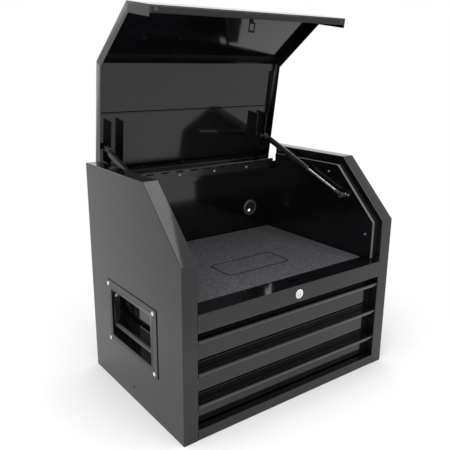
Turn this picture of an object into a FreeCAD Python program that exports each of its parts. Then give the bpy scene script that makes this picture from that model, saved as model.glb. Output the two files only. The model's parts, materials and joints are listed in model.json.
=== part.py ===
import FreeCAD, Part
import Sketcher
import math
import os
import re

# Machinist tool chest: a folded-steel top chest with a lift-up lid on two gas struts,
# a lined top compartment, a lock rail and three drawers on ball-bearing slides.
# Row frame in millimetres: +X to the right of someone facing the drawers, +Y to the back,
# +Z up, origin on the floor under the middle of the chest. Rest is lid open, drawers shut.

DIMENSIONS = {
    # Chest shell, folded from sheet
    "chest_width": 690, "chest_depth": 470, "chest_height": 593, "front_height": 436,
    "slope_angle": 45, "shell_sheet": 1.2, "rim_width": 40, "rim_drop": 26, "rear_flange": 20,
    "foot_flange": 25, "bend_radius": 2, "pan_joggle": 10, "rear_notch": 32, "rear_notch_gap": 2,
    # Inner side walls with the ledge that the lid closes onto
    "wall_sheet": 1.0, "ledge_width": 10, "ledge_lap": 1.2, "wall_rear_flange": 14,
    "wall_screw_inset": 22, "wall_screw_share": 0.55, "cut_past": 1,
    # Bottom rail, base pan and lock rail
    "bottom_rail_height": 27, "rail_flange": 40, "rail_lip": 8, "rail_return": 20,
    "lock_rail_bottom": 273, "lock_rail_top": 318, "lock_ledge_depth": 55,
    # Top compartment floor and its mat
    "deck_drop": 3, "deck_sheet": 1.2, "deck_front": 46, "deck_flange": 15,
    "mat_thickness": 5, "mat_gap": 2, "mat_front": 56.5, "mat_corner": 6,
    "mat_panel_width": 210, "mat_panel_depth": 92, "mat_panel_recess": 1.5, "mat_panel_corner": 14,
    "mat_panel_shift": -38,
    # Lid, folded in three flats
    "lid_side_gap": 2, "lid_sheet": 1.0, "lid_flange": 25, "lid_lip": 17, "lid_foot_gap": 11, "lid_bend": 3,
    "lid_open_angle": 81.5, "lid_heel_gap": 4, "seal_height": 10, "seal_setback": 1.5,
    "seal_width": 14, "seal_short": 13, "seal_round": 3,
    "stiffener_leg": 24, "stiffener_sheet": 1.0, "stiffener_step": 5, "stiffener_side_gap": 3,
    # Continuous hinge
    "hinge_setback": 10, "hinge_drop": 48, "hinge_end_gap": 5, "knuckle_count": 24,
    "knuckle_radius": 4.5, "pin_radius": 2, "pin_clearance": 0.05, "knuckle_gap": 0.4,
    "leaf_sheet": 1.5, "leaf_width": 25, "leaf_root_gap": 0.7, "pin_head": 1, "pin_head_radius": 3.4,
    "rear_rail_drop": 7, "rear_rail_lip": 30,
    "body_screw_count": 4, "body_screw_end": 112.5, "lid_screw_count": 5, "lid_screw_end": 24,
    "hinge_screw_offset": 15,
    # Pan-head and dome-head fasteners
    "screw_radius": 2, "screw_clearance": 0.2, "screw_length": 6, "screw_head_radius": 4,
    "screw_head": 2.2, "dome_share": 0.7, "dome_radius": 5.5, "dome_height": 3, "dome_shank_radius": 2.5,
    "dome_shank": 9, "rivet_radius": 3, "rivet_height": 1.6, "rivet_shank_radius": 1.6,
    "rivet_shank": 4, "rivet_height_up": 36, "rivet_back": 243,
    # Gas struts and the brackets on the lid that carry them
    "strut_inset": 13, "strut_foot_back": 133, "strut_foot_height": 487,
    "strut_head_back": 385.2, "strut_head_drop": 17.6, "bracket_gap": 1, "bracket_width": 37,
    "bracket_depth": 26, "bracket_front": 310, "bracket_back": 430, "bracket_sheet": 1.5,
    "socket_radius": 8, "socket_half": 7, "socket_bore": 5.3, "ball_radius": 5, "ball_seat": 4,
    "ball_shank_radius": 3.2, "neck_radius": 6, "neck_length": 24, "rod_radius": 4,
    "rod_engaged": 28, "piston_radius": 6.8, "piston_length": 8, "tube_radius": 9,
    "tube_bore": 7.2, "tube_length": 200, "tube_cap": 5, "rod_clearance": 0.15,
    "stud_flange_radius": 6, "stud_air": 0.4, "stud_hole_clearance": 0.2, "stud_head": 1.5,
    # Lid striker and cam lock
    "striker_side": 15, "striker_sheet": 2, "striker_reach": 48, "striker_loop_start": 24,
    "striker_drop": 6.5, "striker_height": 16, "striker_frame": 4, "striker_foot": 20,
    "lock_height": 295, "lock_flange_radius": 12.5, "lock_flange": 2.5, "lock_barrel_radius": 9.5,
    "lock_barrel_length": 30, "lock_hole_clearance": 0.2, "plug_radius": 7, "plug_clearance": 0.1,
    "plug_proud": 1.2, "keyway_width": 1.6, "keyway_height": 8, "keyway_depth": 6,
    "nut_flats": 24, "nut_thickness": 4, "cam_sheet": 3, "cam_gap": 3.5, "cam_width": 14, "cam_hub_radius": 8,
    "cam_finger_inner": 37.5, "cam_finger_outer": 43.5, "cam_finger_angle": 33,
    "cam_rest_angle": -5, "cam_slot_left": 9, "cam_slot_right": 44, "cam_slot_clearance": 3,
    # Drawers: fronts, pulls and trays
    "drawer_count": 3, "front_gap": 2, "front_side_gap": 2, "front_recess": 24.2,
    "front_sheet": 1.2, "front_flange": 12, "front_bend": 1, "pull_drop": 18, "pull_lip": 12, "pull_sheet": 1.5,
    "pull_round": 5, "pull_return": 6.5, "pull_leg": 16, "pull_end_gap": 1,
    "tray_sheet": 1.0, "tray_rear_gap": 30.2, "tray_bottom_gap": 6, "tray_top_gap": 13,
    "tray_rim": 6,
    # Ball-bearing slides
    "slide_thickness": 12.7, "slide_sheet": 1.2, "slide_height": 36, "slide_rear_gap": 39.6,
    "slide_nest": 0.5, "slide_start": 28, "slide_centre": 34, "slide_flange": 9.6,
    "slide_gap": 1.0,
    # Recessed side handles
    "handle_centre_back": 244.5, "handle_centre_up": 208, "handle_plate_length": 265,
    "handle_plate_height": 180, "handle_sheet": 2, "handle_corner": 4, "recess_side_border": 28.5,
    "recess_end_border": 24.5, "recess_up": 1.5, "recess_depth": 38.5, "recess_sheet": 1.2,
    "recess_fit": 0.4, "handle_screw_side_inset": 14, "handle_screw_end_inset": 11,
    "bail_depth": 12, "bail_drop": 19, "bail_arm": 84, "bail_arm_sheet": 3, "bail_arm_width": 16,
    "bail_side_gap": 1.5, "grip_radius": 7.5, "pivot_radius": 3, "pivot_clearance": 0.1,
    "pivot_head_radius": 5, "pivot_head": 2, "pivot_head_gap": 0.3,
    "pivot_tail": 4,
    # Cable grommet in the back panel
    "grommet_inset": 130, "grommet_height": 391, "grommet_flange_radius": 26,
    "grommet_flange": 3, "grommet_barrel_radius": 21, "grommet_bore": 18, "grommet_seat": 14.5,
    "grommet_fit": 0.3, "grommet_tail": 8, "cover_thickness": 3, "cable_notch_radius": 6,
    "cable_notch_offset": 9,
}

DOC = FreeCAD.newDocument("machinist_tool_chest")
SHEET = DOC.addObject("Spreadsheet::Sheet", "dims")
for row, (alias, size) in enumerate(DIMENSIONS.items(), start=1):
    SHEET.set(f"A{row}", alias)
    SHEET.set(f"B{row}", str(size))
    SHEET.setAlias(f"B{row}", alias)
DOC.recompute()

NODES = {}
WORD = re.compile(r"[a-z][a-z_0-9]*")


def bound(formula):
    """The formula as an expression on the sheet, with every size's name made a cell."""
    def cell(match):
        word = match.group(0)
        return f"dims.{word}" if word in DIMENSIONS else word
    return WORD.sub(cell, str(formula))


def number(formula):
    """The value that a formula has now."""
    return float(SHEET.evalExpression(bound(formula)))


# Places that several pieces share, as formulas of the sheet
FRONT = "(-chest_depth / 2)"
BACK = "(chest_depth / 2)"
SIDE = "(chest_width / 2)"
SLOPE_RUN = "((chest_height - front_height) / tan(slope_angle))"
FRONT_BEND = "tan((90 - slope_angle) / 2)"
TOP_BEND = "tan(slope_angle / 2)"
DROP_FACE = f"({SIDE} - rim_width)"
WALL_OUTER = f"({DROP_FACE} + shell_sheet - ledge_width - ledge_lap)"
WALL_INNER = f"({WALL_OUTER} - wall_sheet)"
PANEL_FRONT = f"({BACK} - 2 * shell_sheet)"
PAN_TOP = "(2 * shell_sheet)"
HINGE_Y = f"({BACK} - hinge_setback)"
LID_REAR = f"({HINGE_Y} + knuckle_radius + lid_sheet)"
LID_LOW = "(lock_rail_top + lid_foot_gap)"
RAIL_FACE = f"({HINGE_Y} - knuckle_radius + leaf_sheet)"
DECK_TOP = "(lock_rail_top - deck_drop)"
HINGE_Z = "(chest_height - hinge_drop)"
RAIL_TOP = f"({HINGE_Z} - rear_rail_drop)"
NOTCH_Z = f"({HINGE_Z} - leaf_width - rear_notch_gap)"
TRAY_SIDE = f"({WALL_INNER} - slide_thickness)"
LID_HALF = f"({DROP_FACE} - lid_side_gap)"
HINGE_HALF = f"({DROP_FACE} - hinge_end_gap)"
STRUT_PLANE = f"({WALL_INNER} - strut_inset)"
BRACKET_OUTER = f"({STRUT_PLANE} - tube_radius - bracket_gap)"
BRACKET_INNER = f"({BRACKET_OUTER} - bracket_width)"
GROMMET_SIDE = f"({SIDE} - grommet_inset)"
DRAWER_PITCH = "((lock_rail_bottom - bottom_rail_height) / drawer_count)"


def body(label):
    """A new sub-part whose Label is its node's name."""
    item = DOC.addObject("PartDesign::Body", label)
    item.Label = label
    NODES[label] = item
    return item


def plane(item, role):
    return next(f for f in item.Origin.OriginFeatures if f.Role == role + "_Plane")


def sketch_on(item, name, role, offset):
    """An empty sketch on one of the body's own planes, moved along that plane's normal."""
    sketch = item.newObject("Sketcher::SketchObject", name)
    sketch.AttachmentSupport = [(plane(item, role), "")]
    sketch.MapMode = "FlatFace"
    sketch.setExpression(".AttachmentOffset.Base.z", bound(offset))
    return sketch


def draw_outline(sketch, points):
    """A closed outline of straight edges, each corner tied to the sheet."""
    corners = [FreeCAD.Vector(number(a), number(b), 0) for a, b in points]
    first = sketch.GeometryCount
    count = len(corners)
    for index in range(count):
        sketch.addGeometry(Part.LineSegment(corners[index], corners[(index + 1) % count]))
    for index in range(count):
        follower = first + (index + 1) % count
        sketch.addConstraint(Sketcher.Constraint("Coincident", first + index, 2, follower, 1))
    for index, (a, b) in enumerate(points):
        tie(sketch, "DistanceX", first + index, 1, a)
        tie(sketch, "DistanceY", first + index, 1, b)


def tie(sketch, kind, edge, vertex, formula):
    datum = sketch.addConstraint(Sketcher.Constraint(kind, -1, 1, edge, vertex, number(formula)))
    sketch.setExpression(f"Constraints[{datum}]", bound(formula))


def draw_circles(sketch, centres, radius):
    """Circles of one radius, their centres and radius tied to the sheet."""
    up = FreeCAD.Vector(0, 0, 1)
    for a, b in centres:
        centre = FreeCAD.Vector(number(a), number(b), 0)
        edge = sketch.addGeometry(Part.Circle(centre, up, number(radius)))
        tie(sketch, "DistanceX", edge, 3, a)
        tie(sketch, "DistanceY", edge, 3, b)
        datum = sketch.addConstraint(Sketcher.Constraint("Radius", edge, number(radius)))
        sketch.setExpression(f"Constraints[{datum}]", bound(radius))


def pad(item, name, role, draw, low, high):
    """Material between two stations along the plane's axis. The XZ plane looks towards -Y."""
    start = f"-({high})" if role == "XZ" else low
    sketch = sketch_on(item, name + "_outline", role, start)
    draw(sketch)
    feature = item.newObject("PartDesign::Pad", name)
    feature.Profile = sketch
    feature.setExpression("Length", bound(f"({high}) - ({low})"))
    return feature


def pocket(item, name, role, draw, low, high):
    """A cut between two stations along the plane's axis."""
    start = f"-({low})" if role == "XZ" else high
    sketch = sketch_on(item, name + "_outline", role, start)
    draw(sketch)
    feature = item.newObject("PartDesign::Pocket", name)
    feature.Profile = sketch
    feature.setExpression("Length", bound(f"({high}) - ({low})"))
    return feature


def outline(*points):
    return lambda sketch: draw_outline(sketch, points)


def rectangle(a_low, a_high, b_low, b_high):
    return outline((a_low, b_low), (a_high, b_low), (a_high, b_high), (a_low, b_high))


def circles(centres, radius):
    return lambda sketch: draw_circles(sketch, centres, radius)


def span(side, near, far):
    """Low and high X of a stretch measured from the middle plane, on one side."""
    return (near, far) if side > 0 else (f"-({far})", f"-({near})")


def round_edges(item, name, base, chosen, radius):
    """A fillet on the straight or round edges that a test picks out."""
    DOC.recompute()
    picked = [f"Edge{i}" for i, edge in enumerate(base.Shape.Edges, start=1) if chosen(edge)]
    feature = item.newObject("PartDesign::Fillet", name)
    feature.Base = (base, picked)
    feature.setExpression("Radius", bound(radius))
    return feature


def along(edge, axis, places):
    """True for a straight edge along an axis ('x', 'y' or 'z') through one of the places."""
    ends = [vertex.Point for vertex in edge.Vertexes]
    if len(ends) != 2 or edge.Curve.TypeId != "Part::GeomLine":
        return False
    others = [a for a in "xyz" if a != axis]
    if any(abs(getattr(ends[0], a) - getattr(ends[1], a)) > 1e-6 for a in others):
        return False
    here = [getattr(ends[0], a) for a in others]
    return any(math.dist(here, [number(f) for f in place]) < 1e-4 for place in places)


def on_lines(edge, lines):
    """True for a straight edge that lies on one of the lines, each given by two points."""
    ends = [vertex.Point for vertex in edge.Vertexes]
    if len(ends) != 2 or edge.Curve.TypeId != "Part::GeomLine":
        return False
    for start, stop in lines:
        run = stop - start
        if all((end - start).cross(run).Length < 1e-3 * run.Length for end in ends):
            return True
    return False


def rim_edges(x, inset, low, rear):
    """The three lines of the side's outline at one X."""
    bends = [vector(x, y, z) for y, z in rim_line(inset, low, rear)]
    return list(zip(bends, bends[1:]))


def shaped(label, shape):
    """A sub-part whose shape is worked out from the sheet in code."""
    item = DOC.addObject("Part::Feature", label)
    item.Label = label
    item.Shape = shape
    NODES[label] = item
    return item


def vector(x, y, z):
    return FreeCAD.Vector(number(x), number(y), number(z))


AXIS = {"x": FreeCAD.Vector(1, 0, 0), "y": FreeCAD.Vector(0, 1, 0), "z": FreeCAD.Vector(0, 0, 1)}
HINGE_POINT = vector(0, HINGE_Y, HINGE_Z)
LID_SWING = FreeCAD.Rotation(AXIS["x"], -number("lid_open_angle"))
LID_OPEN = FreeCAD.Placement(HINGE_POINT - LID_SWING.multVec(HINGE_POINT), LID_SWING)


def rim_line(inset, low, rear):
    """The side's outline moved inwards: front edge, slope and top edge, front to rear."""
    return [
        (f"{FRONT} + {inset}", low),
        (f"{FRONT} + {inset}", f"front_height - {inset} * {FRONT_BEND}"),
        (f"{FRONT} + {SLOPE_RUN} + {inset} * {TOP_BEND}", f"chest_height - {inset}"),
        (rear, f"chest_height - {inset}"),
    ]


def rim_band(outer, inner, low, rear):
    """The strip between two insets of the side's outline."""
    return outline(*rim_line(outer, low, rear), *reversed(rim_line(inner, low, rear)))


# ---------------------------------------------------------------- chest shell

HANDLE_Y = f"({FRONT} + handle_centre_back)"
HANDLE_Z = "handle_centre_up"
RECESS_Z = "(handle_centre_up + recess_up)"
RECESS_LENGTH = "(handle_plate_length - 2 * recess_side_border)"
RECESS_HEIGHT = "(handle_plate_height - 2 * recess_end_border)"
HANDLE_SCREWS = [
    (f"{HANDLE_Y} + {a} * (handle_plate_length / 2 - handle_screw_side_inset)",
     f"{HANDLE_Z} + {b} * (handle_plate_height / 2 - handle_screw_end_inset)")
    for a in (-1, 1) for b in (-1, 1)
]


def between(near, far):
    """The middle wall screw's place on the line along the slope."""
    return f"(({near}) * (1 - wall_screw_share) + ({far}) * wall_screw_share)"


def wall_screw_places():
    """Three screws up each inner wall, set in from the ledge."""
    inset = "(rim_drop + wall_screw_inset)"
    bend = rim_line(inset, "0", BACK)
    low_y, low_z = bend[1]
    top_y, top_z = bend[2]
    return [
        (low_y, f"front_height - {inset}"),
        (between(low_y, top_y), between(low_z, top_z)),
        (f"({top_y}) + wall_screw_inset", top_z),
    ]


def side_panel(label, side):
    """Outer side with the front post, slope and top rims folded in, and a drop flange."""
    item = body(label)
    whole = outline(*rim_line("0", "0", BACK), (BACK, "0"))
    pad(item, label + "_web", "YZ", whole, *span(side, f"{SIDE} - shell_sheet", SIDE))
    pad(item, label + "_rim", "YZ", rim_band("0", "shell_sheet", "0", BACK),
        *span(side, DROP_FACE, SIDE))
    pad(item, label + "_drop", "YZ", rim_band("0", "rim_drop", "0", f"{BACK} - rear_notch"),
        *span(side, DROP_FACE, f"{DROP_FACE} + shell_sheet"))
    flange = span(side, f"{SIDE} - rear_flange", SIDE)
    pad(item, label + "_rear", "XZ", rectangle(*flange, "0", "chest_height"),
        f"{BACK} - shell_sheet", BACK)
    foot = span(side, f"{SIDE} - foot_flange", SIDE)
    pad(item, label + "_foot", "XY", rectangle(*foot, FRONT, PANEL_FRONT), "0", "shell_sheet")
    through = span(side, f"{SIDE} - 2 * shell_sheet", f"{SIDE} + shell_sheet")
    half = f"({RECESS_LENGTH} / 2 + recess_sheet + recess_fit)"
    tall = f"({RECESS_HEIGHT} / 2 + recess_sheet + recess_fit)"
    window = rectangle(f"{HANDLE_Y} - {half}", f"{HANDLE_Y} + {half}",
                       f"{RECESS_Z} - {tall}", f"{RECESS_Z} + {tall}")
    pocket(item, label + "_window", "YZ", window, *through)
    pocket(item, label + "_screw_holes", "YZ",
           circles(HANDLE_SCREWS, "dome_shank_radius + screw_clearance"), *through)
    rivet = [(f"{FRONT} + rivet_back", "rivet_height_up")]
    drilled = pocket(item, label + "_rivet_hole", "YZ",
                     circles(rivet, "rivet_shank_radius + screw_clearance"), *through)
    folds = (rim_edges(f"{side} * {SIDE}", "0", "0", BACK)
             + rim_edges(f"{side} * {DROP_FACE}", "0", "0", BACK))
    round_edges(item, label + "_bends", drilled, lambda e: on_lines(e, folds), "bend_radius")


def inner_wall(label, side):
    """Inner side wall with the ledge under the rim that the lid closes onto."""
    item = body(label)
    rear = f"{BACK} - rear_notch"
    sheet = rim_line("rim_drop", PAN_TOP, rear)
    web = outline(*sheet, (rear, NOTCH_Z), (PANEL_FRONT, NOTCH_Z),
                  (PANEL_FRONT, PAN_TOP))
    pad(item, label + "_web", "YZ", web, *span(side, WALL_INNER, WALL_OUTER))
    pad(item, label + "_ledge", "YZ",
        rim_band("rim_drop", "(rim_drop + wall_sheet)", PAN_TOP, rear),
        *span(side, WALL_INNER, f"{DROP_FACE} + shell_sheet"))
    flange = span(side, WALL_INNER, f"{WALL_OUTER} + wall_rear_flange")
    pad(item, label + "_rear", "XZ", rectangle(*flange, PAN_TOP, NOTCH_Z),
        f"{PANEL_FRONT} - wall_sheet", PANEL_FRONT)
    through = span(side, f"{WALL_INNER} - wall_sheet", f"{WALL_OUTER} + wall_sheet")
    pocket(item, label + "_screw_holes", "YZ",
           circles(wall_screw_places(), "screw_radius + screw_clearance"), *through)
    pocket(item, label + "_stud_hole", "YZ",
           circles([STRUT_FOOT], "ball_shank_radius + stud_hole_clearance"), *through)


def back_panel():
    """Back, with a rail folded forward along its top edge for the lid's hinge."""
    item = body("back_panel")
    edge = f"{SIDE} - shell_sheet"
    pad(item, "back_web", "XZ", rectangle(f"-({edge})", edge, "0", RAIL_TOP),
        PANEL_FRONT, f"{BACK} - shell_sheet")
    half = f"({DROP_FACE} - ledge_lap)"
    shelf = rectangle(RAIL_FACE, f"{BACK} - shell_sheet", f"{RAIL_TOP} - shell_sheet", RAIL_TOP)
    pad(item, "back_rail", "YZ", shelf, f"-({half}) + ledge_width + wall_sheet",
        f"{half} - ledge_width - wall_sheet")
    lip = rectangle(RAIL_FACE, f"{RAIL_FACE} + shell_sheet", f"{RAIL_TOP} - rear_rail_lip", RAIL_TOP)
    pad(item, "back_rail_lip", "YZ", lip, f"-({half}) + ledge_width + wall_sheet",
        f"{half} - ledge_width - wall_sheet")
    pocket(item, "back_screw_holes", "XZ",
           circles(BODY_SCREWS, "screw_radius + screw_clearance"),
           f"{RAIL_FACE} - shell_sheet", f"{RAIL_FACE} + 2 * shell_sheet")
    pocket(item, "back_grommet_hole", "XZ",
           circles([(GROMMET_SIDE, "grommet_height")], "grommet_barrel_radius + grommet_fit"),
           f"{PANEL_FRONT} - shell_sheet", BACK)


def base_pan():
    """Floor of the drawer space, its middle pressed down to stand level with the feet."""
    item = body("base_pan")
    edge = f"{SIDE} - shell_sheet"
    front = f"{FRONT} + rim_drop + wall_sheet"
    pad(item, "base_border", "XY", rectangle(f"-({edge})", edge, front, PANEL_FRONT),
        "shell_sheet", PAN_TOP)
    wide = f"({WALL_INNER} - pan_joggle)"
    low = f"({FRONT} + rail_flange + pan_joggle)"
    high = f"({PANEL_FRONT} - pan_joggle)"
    pad(item, "base_middle", "XY", rectangle(f"-{wide}", wide, low, high), "0", "shell_sheet")
    inset = "shell_sheet"
    pocket(item, "base_recess", "XY",
           rectangle(f"-{wide} + {inset}", f"{wide} - {inset}", f"{low} + {inset}",
                     f"{high} - {inset}"), "shell_sheet", f"2 * {PAN_TOP}")


def bottom_rail():
    """Rail under the drawers: a face with flanges folded back along both edges."""
    item = body("bottom_rail")
    profile = outline(
        (FRONT, "0"), (f"{FRONT} + rail_flange", "0"), (f"{FRONT} + rail_flange", "shell_sheet"),
        (f"{FRONT} + shell_sheet", "shell_sheet"),
        (f"{FRONT} + shell_sheet", "bottom_rail_height - shell_sheet"),
        (f"{FRONT} + rail_return - shell_sheet", "bottom_rail_height - shell_sheet"),
        (f"{FRONT} + rail_return - shell_sheet", "bottom_rail_height - rail_lip"),
        (f"{FRONT} + rail_return", "bottom_rail_height - rail_lip"),
        (f"{FRONT} + rail_return", "bottom_rail_height"), (FRONT, "bottom_rail_height"))
    pad(item, "bottom_rail_fold", "YZ", profile, f"-{DROP_FACE}", DROP_FACE)
    for name, side in (("bottom_notch_left", -1), ("bottom_notch_right", 1)):
        low, high = span(side, f"{WALL_INNER}", f"{DROP_FACE} + shell_sheet")
        notched = pocket(item, name, "XY", rectangle(low, high, f"{FRONT} + rail_return",
                                                     f"{FRONT} + 2 * rail_flange"),
                         "-shell_sheet", "2 * shell_sheet")
    nose = [(FRONT, "0"), (FRONT, "bottom_rail_height")]
    round_edges(item, "bottom_rail_bends", notched, lambda e: along(e, "x", nose), "bend_radius")


def lock_rail():
    """Rail over the drawers, with the ledge in front of the mat and the lock's hole."""
    item = body("lock_rail")
    ledge = f"({FRONT} + lock_ledge_depth)"
    profile = outline(
        (FRONT, "lock_rail_bottom"), (f"{FRONT} + rail_return", "lock_rail_bottom"),
        (f"{FRONT} + rail_return", "lock_rail_bottom + rail_lip"),
        (f"{FRONT} + rail_return - shell_sheet", "lock_rail_bottom + rail_lip"),
        (f"{FRONT} + rail_return - shell_sheet", "lock_rail_bottom + shell_sheet"),
        (f"{FRONT} + shell_sheet", "lock_rail_bottom + shell_sheet"),
        (f"{FRONT} + shell_sheet", "lock_rail_top - shell_sheet"),
        (f"{ledge} - shell_sheet", "lock_rail_top - shell_sheet"),
        (f"{ledge} - shell_sheet", DECK_TOP), (ledge, DECK_TOP),
        (ledge, "lock_rail_top"), (FRONT, "lock_rail_top"))
    pad(item, "lock_rail_fold", "YZ", profile, f"-{DROP_FACE}", DROP_FACE)
    for name, side in (("lock_notch_left", -1), ("lock_notch_right", 1)):
        low, high = span(side, WALL_INNER, f"{DROP_FACE} + shell_sheet")
        pocket(item, name, "XY", rectangle(low, high, f"{FRONT} + rim_drop",
                                           f"{ledge} + shell_sheet"),
               "lock_rail_bottom", "lock_rail_top + shell_sheet")
    pocket(item, "lock_hole", "XZ",
           circles([("0", "lock_height")], "lock_barrel_radius + lock_hole_clearance"),
           f"{FRONT} - shell_sheet", f"{FRONT} + 2 * shell_sheet")
    slot_low = f"{CAM_Y} - cam_slot_clearance"
    slot_high = f"{CAM_Y} + cam_sheet + cam_slot_clearance"
    slotted = pocket(item, "cam_slot", "XY",
                     rectangle("-cam_slot_left", "cam_slot_right", slot_low, slot_high),
                     "lock_rail_top - 2 * shell_sheet", "lock_rail_top + shell_sheet")
    nose = [(FRONT, "lock_rail_bottom"), (FRONT, "lock_rail_top")]
    round_edges(item, "lock_rail_bends", slotted, lambda e: along(e, "x", nose), "bend_radius")


def deck_panel():
    """Floor of the top compartment, hung between the inner walls on folded-down flanges."""
    item = body("deck_panel")
    front = f"{FRONT} + deck_front"
    pad(item, "deck_sheet_top", "XY", rectangle(f"-{WALL_INNER}", WALL_INNER, front,
                                                f"{PANEL_FRONT} - wall_sheet"),
        f"{DECK_TOP} - deck_sheet", DECK_TOP)
    for name, side in (("deck_flange_left", -1), ("deck_flange_right", 1)):
        pad(item, name, "YZ", rectangle(front, f"{PANEL_FRONT} - wall_sheet",
                                        f"{DECK_TOP} - deck_flange", DECK_TOP),
            *span(side, f"{WALL_INNER} - deck_sheet", WALL_INNER))


def foam_mat():
    """Closed-cell mat with a plain pressed panel in the middle."""
    item = body("foam_mat")
    half = f"({WALL_INNER} - mat_gap)"
    rear = f"({PANEL_FRONT} - wall_sheet - mat_gap)"
    top = f"({DECK_TOP} + mat_thickness)"
    sheet = pad(item, "mat_sheet", "XY", rectangle(f"-{half}", half, f"{FRONT} + mat_front", rear),
                DECK_TOP, top)
    corners = [(f"{s} * {half}", y) for s in (-1, 1) for y in (f"{FRONT} + mat_front", rear)]
    round_edges(item, "mat_corners", sheet, lambda e: along(e, "z", corners), "mat_corner")
    wide = "mat_panel_width / 2"
    deep = "mat_panel_depth / 2"
    panel = pocket(item, "mat_panel", "XY",
                   rectangle(f"-{wide}", wide, f"mat_panel_shift - {deep}",
                             f"mat_panel_shift + {deep}"),
                   f"{top} - mat_panel_recess", top)
    inside = [(f"{s} * {wide}", f"mat_panel_shift + {t} * {deep}") for s in (-1, 1) for t in (-1, 1)]
    round_edges(item, "mat_panel_corners", panel, lambda e: along(e, "z", inside),
                "mat_panel_corner")


# ---------------------------------------------------------------- fasteners

def fastener(head_radius, head, shank_radius, shank):
    """A domed head on a shank. The head's seat is at the origin and the head points to +Z."""
    dome = Part.makeCylinder(number(head_radius), number(head))
    crown = max(dome.Edges, key=lambda e: e.CenterOfMass.z if len(e.Vertexes) == 1 else -1)
    dome = dome.makeFillet(number(f"dome_share * {head}"), [crown])
    return dome.fuse(Part.makeCylinder(number(shank_radius), number(shank), FreeCAD.Vector(),
                                       FreeCAD.Vector(0, 0, -1))).removeSplitter()


def placed(shape, point, direction):
    """A copy with its +Z turned to a direction and its origin moved to a point."""
    copy = shape.copy()
    turn = FreeCAD.Rotation(AXIS["z"], direction)
    copy.Placement = FreeCAD.Placement(point, turn).multiply(copy.Placement)
    return copy


def screw_row(count, end):
    """Places along X, spread evenly between the same distance from each end of the hinge."""
    half = f"({HINGE_HALF} - {end})"
    return [f"({half} * (2 * {i} / ({count} - 1) - 1))" for i in range(int(number(count)))]


BODY_SCREWS = [(x, f"{HINGE_Z} - hinge_screw_offset")
               for x in screw_row("body_screw_count", "body_screw_end")]
LID_SCREWS = [(x, f"{HINGE_Z} + hinge_screw_offset")
              for x in screw_row("lid_screw_count", "lid_screw_end")]


def body_screws():
    """Pan-head screws in the hinge's fixed leaf and in the inner walls."""
    screw = fastener("screw_head_radius", "screw_head", "screw_radius", "screw_length")
    front = FreeCAD.Vector(0, -1, 0)
    solids = [placed(screw, vector(x, f"{HINGE_Y} - knuckle_radius", z), front)
              for x, z in BODY_SCREWS]
    for side in (-1, 1):
        inward = FreeCAD.Vector(-side, 0, 0)
        solids += [placed(screw, vector(f"{side} * {WALL_INNER}", y, z), inward)
                   for y, z in wall_screw_places()]
    shaped("body_screws", Part.makeCompound(solids))


def lid_screws():
    """Pan-head screws in the hinge's moving leaf."""
    screw = fastener("screw_head_radius", "screw_head", "screw_radius", "screw_length")
    front = FreeCAD.Vector(0, -1, 0)
    seat = f"{HINGE_Y} + knuckle_radius - leaf_sheet"
    solids = [placed(screw, vector(x, seat, z), front) for x, z in LID_SCREWS]
    item = shaped("lid_screws", Part.makeCompound(solids))
    item.Placement = LID_OPEN


def side_fasteners():
    """Dome-head handle screws and one rivet low on each side."""
    screw = fastener("dome_radius", "dome_height", "dome_shank_radius", "dome_shank")
    rivet = fastener("rivet_radius", "rivet_height", "rivet_shank_radius", "rivet_shank")
    screws, rivets = [], []
    for side in (-1, 1):
        outward = FreeCAD.Vector(side, 0, 0)
        screws += [placed(screw, vector(f"{side} * ({SIDE} + handle_sheet)", y, z), outward)
                   for y, z in HANDLE_SCREWS]
        rivets.append(placed(rivet, vector(f"{side} * {SIDE}", f"{FRONT} + rivet_back",
                                           "rivet_height_up"), outward))
    shaped("handle_screws", Part.makeCompound(screws))
    shaped("side_rivets", Part.makeCompound(rivets))


# ---------------------------------------------------------------- lid and hinge

def lid_shell():
    """Lid folded in three flats with side flanges, a heel at the hinge and a lip in front."""
    item = body("lid_panel")
    heel = f"({HINGE_Z} + lid_heel_gap)"
    outer = rim_line("0", LID_LOW, LID_REAR)
    inner = rim_line("lid_sheet", f"{LID_LOW} + lid_sheet", f"{LID_REAR} - lid_sheet")
    profile = outline(
        (LID_REAR, heel), *reversed(outer[1:]), outer[0], (f"{FRONT} + lid_lip", LID_LOW),
        (f"{FRONT} + lid_lip", f"{LID_LOW} + lid_sheet"), *inner, (f"{LID_REAR} - lid_sheet", heel))
    pad(item, "lid_fold", "YZ", profile, f"-{LID_HALF}", LID_HALF)
    for name, side in (("lid_flange_left", -1), ("lid_flange_right", 1)):
        pad(item, name, "YZ", rim_band("0", "lid_flange", LID_LOW, LID_REAR),
            *span(side, f"{LID_HALF} - lid_sheet", LID_HALF))
    drilled = pocket(item, "lid_screw_holes", "XZ",
                     circles(LID_SCREWS, "screw_radius + screw_clearance"),
                     f"{LID_REAR} - 2 * lid_sheet", f"{LID_REAR} + lid_sheet")
    outside = round_edges(item, "lid_outer_bends", drilled,
                          lambda e: along(e, "x", outer[1:]), "lid_bend")
    round_edges(item, "lid_inner_bends", outside, lambda e: along(e, "x", inner[1:]),
                "lid_bend - lid_sheet")
    item.Placement = LID_OPEN


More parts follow.
